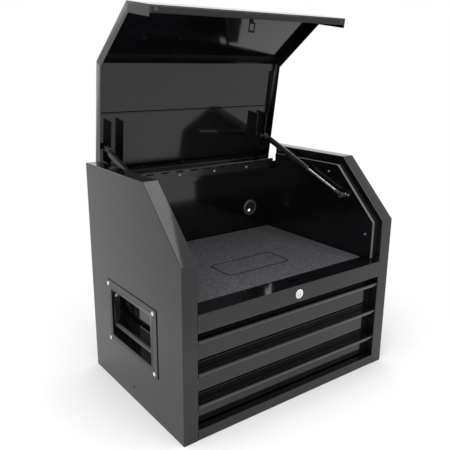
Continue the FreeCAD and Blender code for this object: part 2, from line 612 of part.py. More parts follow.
def lid_stiffener():
    """Folded strip across the lid inside the bend between its top and its slope."""
    item = body("lid_stiffener")
    half = f"({LID_HALF} - lid_sheet - stiffener_side_gap)"
    top = "(chest_height - lid_sheet)"
    bend = f"({FRONT} + {SLOPE_RUN} + lid_sheet * {TOP_BEND})"
    low = "(stiffener_step + stiffener_sheet)"
    leg = "stiffener_leg"
    cosine = "cos(slope_angle)"
    sine = "sin(slope_angle)"
    foot_y = f"({bend} - {leg} * {cosine})"
    foot_z = f"({top} - {leg} * {sine})"
    profile = outline(
        (f"{bend} + {leg}", top), (f"{bend} + {leg}", f"{top} - {low}"),
        (f"{bend} + {low} * {TOP_BEND}", f"{top} - {low}"),
        (f"{foot_y} + {low} * {sine}", f"{foot_z} - {low} * {cosine}"), (foot_y, foot_z),
        (f"{foot_y} + stiffener_sheet * {cosine}", f"{foot_z} + stiffener_sheet * {sine}"),
        (f"{foot_y} + stiffener_step * {sine} + stiffener_sheet * {cosine}",
         f"{foot_z} - stiffener_step * {cosine} + stiffener_sheet * {sine}"),
        (f"{bend} + stiffener_step * {TOP_BEND}", f"{top} - stiffener_step"),
        (f"{bend} + {leg} - stiffener_sheet", f"{top} - stiffener_step"),
        (f"{bend} + {leg} - stiffener_sheet", top))
    pad(item, "stiffener_fold", "YZ", profile, f"-{half}", half)
    item.Placement = LID_OPEN


def lid_seal():
    """Sponge strip under the lid's front lip, cut short at the right."""
    item = body("lid_seal")
    near = f"({FRONT} + seal_setback)"
    far = f"({near} + seal_width)"
    foot = f"({LID_LOW} - seal_height)"
    strip = pad(item, "seal_strip", "YZ", rectangle(near, far, foot, LID_LOW),
                f"-{LID_HALF}", f"{LID_HALF} - seal_short")
    lower = [(near, foot), (far, foot)]
    round_edges(item, "seal_rounds", strip, lambda e: along(e, "x", lower), "seal_round")
    item.Placement = LID_OPEN


def hinge_leaf(label, parity, plate_low, plate_high, root, face, screws):
    """One leaf of the continuous hinge, with every second knuckle."""
    item = body(label)
    half = HINGE_HALF
    plate = rectangle(face, f"{face} + leaf_sheet", plate_low, plate_high)
    pad(item, label + "_plate", "YZ", plate, f"-{half}", half)
    pitch = f"(2 * {half} / knuckle_count)"
    start = f"(-{half} + {parity} * {pitch} + knuckle_gap / 2)"
    end = f"({start} + {pitch} - knuckle_gap)"
    tongue = pad(item, label + "_tongue", "YZ",
                 rectangle(face, f"{face} + leaf_sheet", *sorted((HINGE_Z, root), key=number)),
                 start, end)
    barrel = pad(item, label + "_barrel", "YZ", circles([(HINGE_Y, HINGE_Z)],
                                                        "knuckle_radius"), start, end)
    row = item.newObject("PartDesign::LinearPattern", label + "_row")
    row.Originals = [tongue, barrel]
    row.Direction = (tongue.Profile[0], ["N_Axis"])
    row.setExpression("Length", bound(f"2 * {pitch} * (knuckle_count / 2 - 1)"))
    row.setExpression("Occurrences", bound("knuckle_count / 2"))
    item.Tip = row
    pocket(item, label + "_bore", "YZ", circles([(HINGE_Y, HINGE_Z)],
                                                "pin_radius + pin_clearance"),
           f"-{half} - knuckle_gap", f"{half} + knuckle_gap")
    pocket(item, label + "_screw_holes", "XZ", circles(screws, "screw_radius + screw_clearance"),
           f"{face} - leaf_sheet", f"{face} + 2 * leaf_sheet")
    return item


def hinge():
    """Continuous hinge: fixed leaf on the rear rail, moving leaf on the lid's heel, one pin."""
    gap = "(knuckle_radius + leaf_root_gap)"
    front_face = f"({HINGE_Y} - knuckle_radius)"
    rear_face = f"({HINGE_Y} + knuckle_radius - leaf_sheet)"
    hinge_leaf("hinge_fixed_leaf", 0, f"{HINGE_Z} - leaf_width", f"{HINGE_Z} - {gap}",
               f"{HINGE_Z} - {gap} - leaf_root_gap", front_face, BODY_SCREWS)
    moving = hinge_leaf("hinge_lid_leaf", 1, f"{HINGE_Z} + {gap}", f"{HINGE_Z} + leaf_width",
                        f"{HINGE_Z} + {gap} + leaf_root_gap", rear_face, LID_SCREWS)
    moving.Placement = LID_OPEN
    pin = body("hinge_pin")
    half = HINGE_HALF
    centre = [(HINGE_Y, HINGE_Z)]
    pad(pin, "pin_wire", "YZ", circles(centre, "pin_radius"), f"-{half} - pin_head",
        f"{half} + pin_head")
    for name, side in (("pin_head_left", -1), ("pin_head_right", 1)):
        pad(pin, name, "YZ", circles(centre, "pin_head_radius"),
            *span(side, half, f"{half} + pin_head"))


# ---------------------------------------------------------------- gas struts

STRUT_FOOT = (f"({FRONT} + strut_foot_back)", "strut_foot_height")
STRUT_HEAD = (f"({FRONT} + strut_head_back)", "(chest_height - strut_head_drop)")


def strut_line():
    """Foot point, head point with the lid open, and the turn that takes +Z onto the strut."""
    foot = vector(0, *STRUT_FOOT)
    head = LID_OPEN.multVec(vector(0, *STRUT_HEAD))
    turn = FreeCAD.Rotation(AXIS["z"], head - foot)
    return foot, head, turn


def strut_bracket(label, side):
    """Channel on the lid's flat that carries a strut's upper stud."""
    item = body(label)
    low, high = span(side, BRACKET_INNER, BRACKET_OUTER)
    top = "(chest_height - lid_sheet)"
    front = f"{FRONT} + bracket_front"
    back = f"{FRONT} + bracket_back"
    pad(item, label + "_block", "XY", rectangle(low, high, front, back),
        f"{top} - bracket_depth", top)
    hollow = span(side, f"{BRACKET_INNER} + bracket_sheet", f"{BRACKET_OUTER} - bracket_sheet")
    pocket(item, label + "_hollow", "XZ", rectangle(*hollow, f"{top} - 2 * bracket_depth",
                                                    f"{top} - bracket_sheet"),
           f"{front} - bracket_sheet", f"{back} + bracket_sheet")
    pocket(item, label + "_stud_hole", "YZ",
           circles([STRUT_HEAD], "ball_shank_radius + stud_hole_clearance"),
           *span(side, f"{BRACKET_OUTER} - 2 * bracket_sheet",
                 f"{BRACKET_OUTER} + bracket_sheet"))
    item.Placement = LID_OPEN


def cylinder_x(radius, x_low, x_high, y=0.0, z=0.0):
    low, high = sorted((x_low, x_high))
    return Part.makeCylinder(radius, high - low, FreeCAD.Vector(low, y, z), AXIS["x"])


def strut_studs():
    """Ball studs on the inner walls, and flanged studs on the lid's brackets."""
    foot = vector(0, *STRUT_FOOT)
    plane_x = number(STRUT_PLANE)
    wall = number(WALL_INNER)
    shank = number("ball_shank_radius")
    balls, pins = [], []
    for side in (-1, 1):
        centre = FreeCAD.Vector(side * plane_x, foot.y, foot.z)
        ball = Part.makeSphere(number("ball_radius"), centre, FreeCAD.Vector(side, 0, 0))
        stem = cylinder_x(shank, side * plane_x, side * (wall + number("ball_seat")), foot.y, foot.z)
        collar = cylinder_x(number("stud_flange_radius"), side * (wall - number("stud_head")),
                            side * wall, foot.y, foot.z)
        balls.append(ball.fuse([stem, collar]).removeSplitter())
        seat = number(BRACKET_OUTER)
        tip = plane_x - number("socket_half") - number("stud_air")
        y, z = number(STRUT_HEAD[0]), number(STRUT_HEAD[1])
        rear = seat - number("bracket_sheet")
        post = cylinder_x(shank, side * (rear - number("stud_head")), side * tip, y, z)
        button = cylinder_x(number("stud_flange_radius"), side * (rear - number("stud_head")),
                            side * rear, y, z)
        pins.append(post.fuse(button).removeSplitter())
    shaped("strut_wall_studs", Part.makeCompound(balls))
    item = shaped("strut_lid_studs", Part.makeCompound(pins))
    item.Placement = LID_OPEN


def strut(name, side):
    """Gas spring: a rod pivoting on the wall's stud, sliding in a tube pinned to the lid."""
    foot, head, turn = strut_line()
    reach = (head - foot).Length
    half = number("socket_half")
    socket = number("socket_radius")
    neck = number("neck_length")
    up = AXIS["z"]

    def housing(along_strut):
        return cylinder_x(socket, -half, half, 0, along_strut)

    rod_socket = housing(0).fuse(Part.makeCylinder(number("neck_radius"), neck))
    open_end = (half + number("cut_past")) * side
    cup = cylinder_x(number("socket_bore"), -side * (half - number("stud_head")), open_end)
    rod_socket = rod_socket.cut(cup)
    tube_top = reach - neck
    tube_low = tube_top - number("tube_length")
    rod_top = tube_low + number("rod_engaged")
    rod = Part.makeCylinder(number("rod_radius"), rod_top - neck, FreeCAD.Vector(0, 0, neck), up)
    piston_at = rod_top - number("piston_length")
    rod = rod.fuse(Part.makeCylinder(number("piston_radius"), number("piston_length"),
                                     FreeCAD.Vector(0, 0, piston_at), up)).removeSplitter()
    tube = Part.makeCylinder(number("tube_radius"), number("tube_length"),
                             FreeCAD.Vector(0, 0, tube_low), up)
    cap = number("tube_cap")
    tube = tube.cut(Part.makeCylinder(number("tube_bore"), number("tube_length") - 2 * cap,
                                      FreeCAD.Vector(0, 0, tube_low + cap), up))
    tube = tube.cut(Part.makeCylinder(number("rod_radius + rod_clearance"), 2 * cap,
                                      FreeCAD.Vector(0, 0, tube_low - cap / 2), up))
    tube_socket = housing(reach).fuse(Part.makeCylinder(number("neck_radius"), neck,
                                                        FreeCAD.Vector(0, 0, tube_top), up))
    where = FreeCAD.Placement(FreeCAD.Vector(side * number(STRUT_PLANE), foot.y, foot.z), turn)
    parts = {"rod_socket": rod_socket, "rod": rod, "tube": tube, "tube_socket": tube_socket}
    for part, shape in parts.items():
        item = shaped(f"{name}_strut_{part}", shape.removeSplitter())
        item.Placement = where


# ---------------------------------------------------------------- lock and striker

CAM_Y = f"({FRONT} + lock_barrel_length + cam_gap)"


def lid_striker():
    """Plate that stands in from the lid's front, with a window that the cam hooks."""
    item = body("lid_striker")
    low = "(-striker_side - striker_sheet / 2)"
    high = "(-striker_side + striker_sheet / 2)"
    face = f"({FRONT} + lid_sheet)"
    sill = f"({LID_LOW} + lid_sheet)"
    loop_low = f"({LID_LOW} - striker_drop)"
    top = f"({sill} + striker_height)"
    tip = f"({FRONT} + striker_reach)"
    start = f"({FRONT} + striker_loop_start)"
    pad(item, "striker_plate", "YZ",
        outline((face, sill), (start, sill), (start, loop_low), (tip, loop_low), (tip, top),
                (face, top)), low, high)
    pad(item, "striker_foot_flange", "YZ", rectangle(face, f"{face} + striker_sheet", sill, top),
        f"{low} - striker_foot", high)
    pocket(item, "striker_window", "YZ",
           rectangle(f"{start} + striker_frame", f"{tip} - striker_frame",
                     f"{loop_low} + striker_frame", f"{top} - striker_frame"),
           f"{low} - striker_sheet", f"{high} + striker_sheet")
    item.Placement = LID_OPEN


def lock():
    """Cam lock: housing and nut on the rail, a turning plug, and a cam with a hooked finger."""
    centre = [("0", "lock_height")]
    rear = f"{FRONT} + lock_barrel_length"
    housing = body("lock_housing")
    flange = pad(housing, "lock_flange_disc", "XZ", circles(centre, "lock_flange_radius"),
                 f"{FRONT} - lock_flange", FRONT)
    front_y = number(f"{FRONT} - lock_flange")
    round_edges(housing, "lock_flange_round", flange,
                lambda e: len(e.Vertexes) == 1 and abs(e.CenterOfMass.y - front_y) < 1e-4,
                "lock_flange / 2")
    pad(housing, "lock_barrel", "XZ", circles(centre, "lock_barrel_radius"), FRONT, rear)
    pocket(housing, "lock_bore", "XZ", circles(centre, "plug_radius + plug_clearance"),
           f"{FRONT} - 2 * lock_flange", f"{rear} + cut_past")

    nut = body("lock_nut")
    corner = "(nut_flats / 2 / cos(30))"
    hexagon = [(f"{corner} * cos({60 * i})", f"lock_height + {corner} * sin({60 * i})")
               for i in range(6)]
    behind = f"{FRONT} + shell_sheet"
    pad(nut, "nut_blank", "XZ", outline(*hexagon), behind, f"{behind} + nut_thickness")
    pocket(nut, "nut_bore", "XZ", circles(centre, "lock_barrel_radius + lock_hole_clearance"),
           f"{behind} - cut_past", f"{behind} + nut_thickness + cut_past")

    plug = body("lock_plug")
    face = f"{FRONT} - lock_flange - plug_proud"
    pad(plug, "plug_core", "XZ", circles(centre, "plug_radius"), face, CAM_Y)
    pocket(plug, "keyway", "XZ",
           rectangle("-keyway_width / 2", "keyway_width / 2", "lock_height - keyway_height / 2",
                     "lock_height + keyway_height / 2"), face, f"{face} + keyway_depth")

    blade = number("cam_sheet")
    inner, outer = number("cam_finger_inner"), number("cam_finger_outer")
    half = number("cam_width / 2")
    hub = Part.makeCylinder(number("cam_hub_radius"), blade)
    arm = Part.makeBox(outer, 2 * half, blade, FreeCAD.Vector(0, -half, 0))
    arm = arm.common(Part.makeCylinder(outer, blade))
    finger = Part.makeCylinder(outer, blade, FreeCAD.Vector(), AXIS["z"], number("cam_finger_angle"))
    finger = finger.cut(Part.makeCylinder(inner, blade))
    cam = shaped("lock_cam", hub.fuse([arm, finger]).removeSplitter())
    upright = FreeCAD.Rotation(AXIS["x"], 90)
    droop = FreeCAD.Rotation(AXIS["y"], -number("cam_rest_angle"))
    place = vector(0, f"{CAM_Y} + cam_sheet", "lock_height")
    cam.Placement = FreeCAD.Placement(place, droop.multiply(upright))


# ---------------------------------------------------------------- drawers

def drawer_floor(index):
    """Bottom of a drawer's zone, counted from the lowest drawer."""
    return f"(bottom_rail_height + {index} * {DRAWER_PITCH})"


def drawer_front(label, index):
    """Front plate with its top and bottom edges folded back."""
    item = body(label)
    low = f"({drawer_floor(index)} + front_gap)"
    high = f"({drawer_floor(index)} + {DRAWER_PITCH} - front_gap)"
    face = f"({FRONT} + front_recess)"
    rear = f"({face} + front_sheet)"
    width = f"({DROP_FACE} - front_side_gap)"
    pad(item, label + "_plate", "XZ", rectangle(f"-{width}", width, low, high), face, rear)
    inside = f"({WALL_INNER} - front_side_gap)"
    for name, start, end in (("_top_fold", f"{high} - front_sheet", high),
                             ("_bottom_fold", low, f"{low} + front_sheet")):
        fold = pad(item, label + name, "XY",
                   rectangle(f"-{inside}", inside, rear, f"{rear} + front_flange"), start, end)
    edges = [(face, low), (face, high)]
    round_edges(item, label + "_bends", fold, lambda e: along(e, "x", edges), "front_bend")


def drawer_pull(label, index):
    """Full-width pull: a shelf off the front with a rounded lip turned down."""
    item = body(label)
    half = f"({DROP_FACE} - front_side_gap - pull_end_gap)"
    top = f"({drawer_floor(index)} + {DRAWER_PITCH} - pull_drop)"
    face = f"({FRONT} + front_recess)"
    t = "pull_sheet"
    profile = outline(
        (face, top), (FRONT, top), (FRONT, f"{top} - pull_lip"),
        (f"{FRONT} + pull_return", f"{top} - pull_lip"),
        (f"{FRONT} + pull_return", f"{top} - pull_lip + {t}"),
        (f"{FRONT} + {t}", f"{top} - pull_lip + {t}"), (f"{FRONT} + {t}", f"{top} - {t}"),
        (f"{face} - {t}", f"{top} - {t}"), (f"{face} - {t}", f"{top} - pull_leg"),
        (face, f"{top} - pull_leg"))
    bar = pad(item, label + "_bar", "YZ", profile, f"-{half}", half)
    outside = [(FRONT, top), (FRONT, f"{top} - pull_lip")]
    inside = [(f"{FRONT} + {t}", f"{top} - {t}"), (f"{FRONT} + {t}", f"{top} - pull_lip + {t}")]
    nose = round_edges(item, label + "_nose", bar, lambda e: along(e, "x", outside), "pull_round")
    round_edges(item, label + "_nose_inside", nose, lambda e: along(e, "x", inside),
                "pull_round - pull_sheet")


def drawer_tray(label, index):
    """Open box of folded sheet with its rims turned out along the sides and the back."""
    item = body(label)
    low = f"({drawer_floor(index)} + tray_bottom_gap)"
    high = f"({drawer_floor(index)} + {DRAWER_PITCH} - tray_top_gap)"
    front = f"({FRONT} + front_recess + front_sheet)"
    rear = f"({PANEL_FRONT} - tray_rear_gap)"
    pad(item, label + "_block", "XY", rectangle(f"-{TRAY_SIDE}", TRAY_SIDE, front, rear), low, high)
    pocket(item, label + "_hollow", "XY",
           rectangle(f"-{TRAY_SIDE} + tray_sheet", f"{TRAY_SIDE} - tray_sheet",
                     f"{front} + tray_sheet", f"{rear} - tray_sheet"),
           f"{low} + tray_sheet", f"{high} + tray_sheet")
    for name, side in (("_rim_left", -1), ("_rim_right", 1)):
        pad(item, label + name, "YZ",
            outline((front, f"{high} - tray_rim"), (rear, f"{high} - tray_rim"), (rear, high),
                    (front, high)),
            *span(side, f"{TRAY_SIDE} - 2 * tray_sheet - slide_gap",
                  f"{TRAY_SIDE} - tray_sheet - slide_gap"))
        pad(item, label + name + "_top", "XY",
            rectangle(*span(side, f"{TRAY_SIDE} - 2 * tray_sheet - slide_gap", TRAY_SIDE),
                      front, rear), f"{high} - tray_sheet", high)


def channel(side, web_at, web_side, reach, height, centre_z, start, length):
    """One slide member: a web and two flanges, as a solid. web_at is X from the middle."""
    t = number("slide_sheet")
    low_z = centre_z - height / 2
    edge = web_at + web_side * reach
    web_low, web_high = sorted((web_at, web_at + web_side * t))
    low, high = sorted((web_at, edge))

    def box(x_low, x_high, z_low, z_high):
        left, right = sorted((side * x_low, side * x_high))
        return Part.makeBox(right - left, length, z_high - z_low, FreeCAD.Vector(left, start, z_low))

    web = box(web_low, web_high, low_z, low_z + height)
    lower = box(low, high, low_z, low_z + t)
    upper = box(low, high, low_z + height - t, low_z + height)
    return web.fuse([lower, upper]).removeSplitter()


def slides():
    """Ball-bearing slides: outer channels on the walls, middle channels, inner ones on trays."""
    wall, tray = number(WALL_INNER), number(TRAY_SIDE)
    t, nest = number("slide_sheet"), number("slide_nest")
    start = number(f"{FRONT} + slide_start")
    length = number(f"{PANEL_FRONT} - slide_rear_gap") - start
    reach = number("slide_flange")
    tall = number("slide_height")
    gap = number("slide_gap")
    outer = []
    for index in range(int(number("drawer_count"))):
        z = number(f"{drawer_floor(index)} + slide_centre")
        middle, inner = [], []
        for side in (-1, 1):
            outer.append(channel(side, wall, -1, reach, tall, z, start, length))
            middle_tall = tall - 2 * t - 2 * nest
            middle.append(channel(side, wall - t - gap, -1, reach - nest, middle_tall, z,
                                  start, length))
            inner_tall = middle_tall - 2 * t - 2 * nest
            inner_reach = wall - tray - 2 * t - 2 * gap
            inner.append(channel(side, tray, 1, inner_reach, inner_tall, z, start, length))
        shaped(f"drawer_{index + 1}_slide_middles", Part.makeCompound(middle))
        shaped(f"drawer_{index + 1}_slide_inners", Part.makeCompound(inner))
    shaped("slide_outers", Part.makeCompound(outer))


def drawers():
    """Drawer 1 is the lowest."""
    for index in range(int(number("drawer_count"))):
        name = f"drawer_{index + 1}"
        drawer_front(name + "_front", index)
        drawer_pull(name + "_pull", index)
        drawer_tray(name + "_tray", index)


# ---------------------------------------------------------------- side handles

PIVOT_Z = f"({RECESS_Z} + {RECESS_HEIGHT} / 2 - bail_drop)"


def handle_plate(label, side):
    """Plate with a pressed tray behind it that the bail folds into."""
    item = body(label)
    long_half, tall_half = "handle_plate_length / 2", "handle_plate_height / 2"
    outer_face = f"{SIDE} + handle_sheet"
    plate = pad(item, label + "_sheet", "YZ",
                rectangle(f"{HANDLE_Y} - {long_half}", f"{HANDLE_Y} + {long_half}",
                          f"{HANDLE_Z} - {tall_half}", f"{HANDLE_Z} + {tall_half}"),
                *span(side, SIDE, outer_face))
    corners = [(f"{HANDLE_Y} + {a} * {long_half}", f"{HANDLE_Z} + {b} * {tall_half}")
               for a in (-1, 1) for b in (-1, 1)]
    round_edges(item, label + "_corners", plate, lambda e: along(e, "x", corners), "handle_corner")
    wide = f"({RECESS_LENGTH} / 2 + recess_sheet)"
    tall = f"({RECESS_HEIGHT} / 2 + recess_sheet)"
    floor = f"{SIDE} - recess_depth - recess_sheet"
    pad(item, label + "_tray", "YZ",
        rectangle(f"{HANDLE_Y} - {wide}", f"{HANDLE_Y} + {wide}", f"{RECESS_Z} - {tall}",
                  f"{RECESS_Z} + {tall}"), *span(side, floor, SIDE))
    pocket(item, label + "_hollow", "YZ",
           rectangle(f"{HANDLE_Y} - {RECESS_LENGTH} / 2", f"{HANDLE_Y} + {RECESS_LENGTH} / 2",
                     f"{RECESS_Z} - {RECESS_HEIGHT} / 2", f"{RECESS_Z} + {RECESS_HEIGHT} / 2"),
           *span(side, f"{floor} + recess_sheet", f"{outer_face} + handle_sheet"))
    pocket(item, label + "_screw_holes", "YZ",
           circles(HANDLE_SCREWS, "dome_shank_radius + screw_clearance"),
           *span(side, f"{SIDE} - handle_sheet", f"{outer_face} + handle_sheet"))
    pivot = [(f"{side} * ({SIDE} - bail_depth)", PIVOT_Z)]
    pocket(item, label + "_pivot_holes", "XZ", circles(pivot, "pivot_radius + pivot_clearance"),
           f"{HANDLE_Y} - {wide} - cut_past", f"{HANDLE_Y} + {wide} + cut_past")


def handle_bail(label, side):
    """Round grip between two flat arms, hung from the top corners of the tray."""
    item = body(label)
    outer = f"({RECESS_LENGTH} / 2 - bail_side_gap)"
    inner = f"({outer} - bail_arm_sheet)"
    x = f"({side} * ({SIDE} - bail_depth))"
    low = f"({PIVOT_Z} - bail_arm)"
    pad(item, label + "_grip", "XZ", circles([(x, low)], "grip_radius"),
        f"{HANDLE_Y} - {outer}", f"{HANDLE_Y} + {outer}")
    for name, a in (("_arm_front", -1), ("_arm_back", 1)):
        start, end = (f"{HANDLE_Y} + {a} * {inner}", f"{HANDLE_Y} + {a} * {outer}")
        start, end = (end, start) if a < 0 else (start, end)
        pad(item, label + name, "XZ",
            rectangle(f"{x} - bail_arm_width / 2", f"{x} + bail_arm_width / 2", low, PIVOT_Z),
            start, end)
        pad(item, label + name + "_eye", "XZ", circles([(x, PIVOT_Z)], "bail_arm_width / 2"),
            start, end)
        pad(item, label + name + "_foot", "XZ", circles([(x, low)], "bail_arm_width / 2"),
            start, end)
    pocket(item, label + "_eyes", "XZ", circles([(x, PIVOT_Z)], "pivot_radius + pivot_clearance"),
           f"{HANDLE_Y} - {outer} - cut_past", f"{HANDLE_Y} + {outer} + cut_past")


def handle_pivots():
    """Shoulder screws through the tray's ends, their heads inside the bail's arms."""
    shoulder = fastener("pivot_head_radius", "pivot_head", "pivot_radius",
                        "bail_arm_sheet + bail_side_gap + recess_sheet + pivot_tail")
    head_at = f"({RECESS_LENGTH} / 2 - bail_side_gap - bail_arm_sheet - pivot_head_gap)"
    solids = []
    for side in (-1, 1):
        for end in (-1, 1):
            point = vector(f"{side} * ({SIDE} - bail_depth)", f"{HANDLE_Y} + {end} * {head_at}",
                           PIVOT_Z)
            solids.append(placed(shoulder, point, FreeCAD.Vector(0, -end, 0)))
    shaped("handle_pivots", Part.makeCompound(solids))


# ---------------------------------------------------------------- cable grommet

def grommet():
    """Ring in the back panel and a turning cover with an off-centre hole for a cable."""
    centre = [(GROMMET_SIDE, "grommet_height")]
    inner_face = f"({PANEL_FRONT} - grommet_flange)"
    ring = body("grommet_ring")
    flange = pad(ring, "grommet_flange_disc", "XZ", circles(centre, "grommet_flange_radius"),
                 inner_face, PANEL_FRONT)
    face_y = number(inner_face)
    round_edges(ring, "grommet_flange_round", flange,
                lambda e: len(e.Vertexes) == 1 and abs(e.CenterOfMass.y - face_y) < 1e-4,
                "grommet_flange / 2")
    pad(ring, "grommet_barrel", "XZ", circles(centre, "grommet_barrel_radius"),
        PANEL_FRONT, f"{PANEL_FRONT} + grommet_tail - shell_sheet")
    pocket(ring, "grommet_counterbore", "XZ", circles(centre, "grommet_bore"),
           f"{inner_face} - cut_past", f"{inner_face} + cover_thickness + 2 * grommet_fit")
    pocket(ring, "grommet_through", "XZ", circles(centre, "grommet_seat"),
           f"{inner_face} - cut_past", f"{PANEL_FRONT} + grommet_tail")

    cover = body("grommet_cover")
    near = f"({inner_face} + grommet_fit)"
    far = f"({near} + cover_thickness)"
    pad(cover, "cover_disc", "XZ", circles(centre, "grommet_bore - grommet_fit"), near, far)
    notch = [(f"{GROMMET_SIDE} - cable_notch_offset / 2", "grommet_height - cable_notch_offset")]
    pocket(cover, "cable_hole", "XZ", circles(notch, "cable_notch_radius"),
           f"{near} - cut_past", f"{far} + cut_past")


def check_and_write():
    """Stops on a failed feature or an empty or broken shape, then writes one file per node."""
    DOC.recompute()
    failed = [o.Name for o in DOC.Objects if {"Invalid", "Error"} & set(o.State)]
    if failed:
        raise RuntimeError("features that failed: " + ", ".join(failed))
    for label, item in NODES.items():
        if item.Shape.isNull() or not item.Shape.isValid() or not item.Shape.Solids:
            raise RuntimeError("broken shape: " + label)
    os.makedirs("parts", exist_ok=True)
    for label, item in NODES.items():
        item.Shape.exportStep(f"parts/{label}.step")
    print(len(NODES), "nodes written")


for hand, sign in (("left", -1), ("right", 1)):
    side_panel(f"{hand}_side_panel", sign)
    inner_wall(f"{hand}_inner_wall", sign)
    strut_bracket(f"{hand}_strut_bracket", sign)
    strut(hand, sign)
    handle_plate(f"{hand}_handle_plate", sign)
    handle_bail(f"{hand}_handle_bail", sign)
back_panel()
base_pan()
bottom_rail()
lock_rail()
deck_panel()
foam_mat()
lid_shell()
lid_stiffener()
lid_seal()
hinge()
lid_striker()
lock()
drawers()
slides()
handle_pivots()
strut_studs()
body_screws()
lid_screws()
side_fasteners()
grommet()
check_and_write()
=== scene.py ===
"""Dresses the packed machinist tool chest for rendering: paint, chrome, foam, rubber and light.

Lengths are metres in the chest's own frame: +X to the right of someone facing the drawers,
+Y to the back, +Z up, origin on the floor under the middle of the base.
"""

import json
import math

import bmesh
import bpy
import numpy as np
from bpy.props import FloatProperty, FloatVectorProperty, IntProperty, PointerProperty
from bpy.types import Operator, Panel, PropertyGroup
from mathutils import Matrix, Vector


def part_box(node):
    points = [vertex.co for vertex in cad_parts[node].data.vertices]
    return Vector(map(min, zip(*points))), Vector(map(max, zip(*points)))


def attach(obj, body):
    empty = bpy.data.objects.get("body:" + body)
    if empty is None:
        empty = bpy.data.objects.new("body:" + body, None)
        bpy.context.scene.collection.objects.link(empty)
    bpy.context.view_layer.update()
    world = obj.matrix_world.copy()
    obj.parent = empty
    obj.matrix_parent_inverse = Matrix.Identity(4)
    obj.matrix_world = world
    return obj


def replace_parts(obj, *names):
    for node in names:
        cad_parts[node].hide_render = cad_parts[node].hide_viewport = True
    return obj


bl_info = {
    "name": "Tool Chest Finishes",
    "version": (1, 0, 0),
    "blender": (4, 5, 0),
    "location": "3D View > Sidebar > Tool Chest",
    "description": "Builds the visible pieces and finishes of a machinist tool chest",
    "category": "Object",
}

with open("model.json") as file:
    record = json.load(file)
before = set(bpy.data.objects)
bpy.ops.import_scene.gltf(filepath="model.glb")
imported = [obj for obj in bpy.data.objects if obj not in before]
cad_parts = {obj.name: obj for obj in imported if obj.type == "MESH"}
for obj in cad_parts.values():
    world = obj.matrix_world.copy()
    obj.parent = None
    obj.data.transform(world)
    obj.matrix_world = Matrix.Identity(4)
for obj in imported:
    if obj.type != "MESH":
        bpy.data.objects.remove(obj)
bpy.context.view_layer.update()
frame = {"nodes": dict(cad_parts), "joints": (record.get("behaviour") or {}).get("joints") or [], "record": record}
BODY_OF = {
    node: body for body, nodes in frame["record"]["behaviour"]["bodies"].items() for node in nodes
}
SLOT_OF = {entry["node"]: entry["material_slot"] for entry in frame["record"]["subparts"]}
JOINTS = {joint["name"]: joint for joint in frame["joints"]}
MM = 0.001
SIDES = (("left", -1), ("right", 1))
BACKWARDS = (0, 1, 0)

# The open lid's rear flat: out of its inner face, and up along it away from the hinge
LID_SWING = math.radians(JOINTS["lid_hinge"]["range_deg"][0])
LID_INWARD = np.array([0.0, math.sin(LID_SWING), -math.cos(LID_SWING)])
LID_RISE = np.array([0.0, LID_INWARD[2], -LID_INWARD[1]])

# Meshes: distance at which points merge, angles of an edge that stays sharp on new pieces and on
# copies, what weigh_normals goes by, and faces round a turned piece
MERGE = 2e-6
SHARP = 32.0
COPY_SHARP = 28.0
BEND_REACH = 30.0
FLAT_SHARE = 3.0
OWN_SHARE = 0.999
ROUND, ROUND_FINE = 40, 64

# A fastener's points lie within this of each other; radius and height of the two kinds of head
FASTENER_REACH = 30 * MM
DOME_HEAD = (5.5 * MM, 3 * MM)
PAN_HEAD = (4 * MM, 2.2 * MM)
WALL_SCREWS_FROM = 0.28

# Gas strut: room round the rod, how far it shows inside the tube, the tube from its rod end
# (distance, cut below the outer radius), and the socket's neck from the ball's middle (distance
# in mm, share of the neck's radius)
ROD_GAP, ROD_INSIDE = 0.2 * MM, 5.5 * MM
TUBE_CRIMP = np.array([(0.0, 1.2), (2.2, 0.0), (9.0, 0.0), (10.0, 0.7), (12.0, 0.7), (13.0, 0.0)]) * MM
NECK_RIBS = ((4, 0.97), (10, 1), (11, 0.86), (13, 0.86), (14, 1), (16, 1), (17, 0.86), (19, 0.86),
             (20, 1))

# Lamps: name, place, what it is aimed at, width in metres, watts
LAMPS = (("overhead", (-0.2, -0.3, 2.6), (0, 0, 0.3), 2.4, 46.0),
         ("front_left", (-2.2, -2.0, 1.8), (0, 0, 0.4), 1.8, 32.0))
WHITE = (1.0, 1.0, 1.0, 1.0)


# ---------------- sizes and colours


def length(name, description, default, low=0.0, high=1.0):
    return FloatProperty(name=name, description=description, default=default, min=low, max=high,
                         subtype="DISTANCE", unit="LENGTH", precision=5)


def tint(name, description, default):
    return FloatVectorProperty(name=name, description=description, default=default, size=3,
                               min=0.0, max=1.0, subtype="COLOR")


def tilt(name, description, degrees):
    return FloatProperty(name=name, description=description, default=math.radians(degrees),
                         subtype="ANGLE")


def share(name, description, default):
    return FloatProperty(name=name, description=description, default=default, min=0.0, max=1.0,
                         subtype="FACTOR")


class PaintSettings(PropertyGroup):
    """Finishes of the painted sheet."""

    gloss_colour: tint("Gloss black", "Colour of the outer paint", (0.003, 0.003, 0.0038))
    satin_colour: tint("Inner black", "Colour of the paint inside", (0.003, 0.003, 0.0038))
    gloss_roughness: share("Gloss roughness", "Roughness of the outer paint", 0.07)
    satin_roughness: share("Inner roughness", "Roughness of the paint inside", 0.16)
    film_index: FloatProperty(name="Film index", description="Refractive index of the paint film",
                              default=1.5, min=1.3, max=2.5)
    peel: share("Orange peel", "Depth of the slow ripple in the paint film", 0.035)


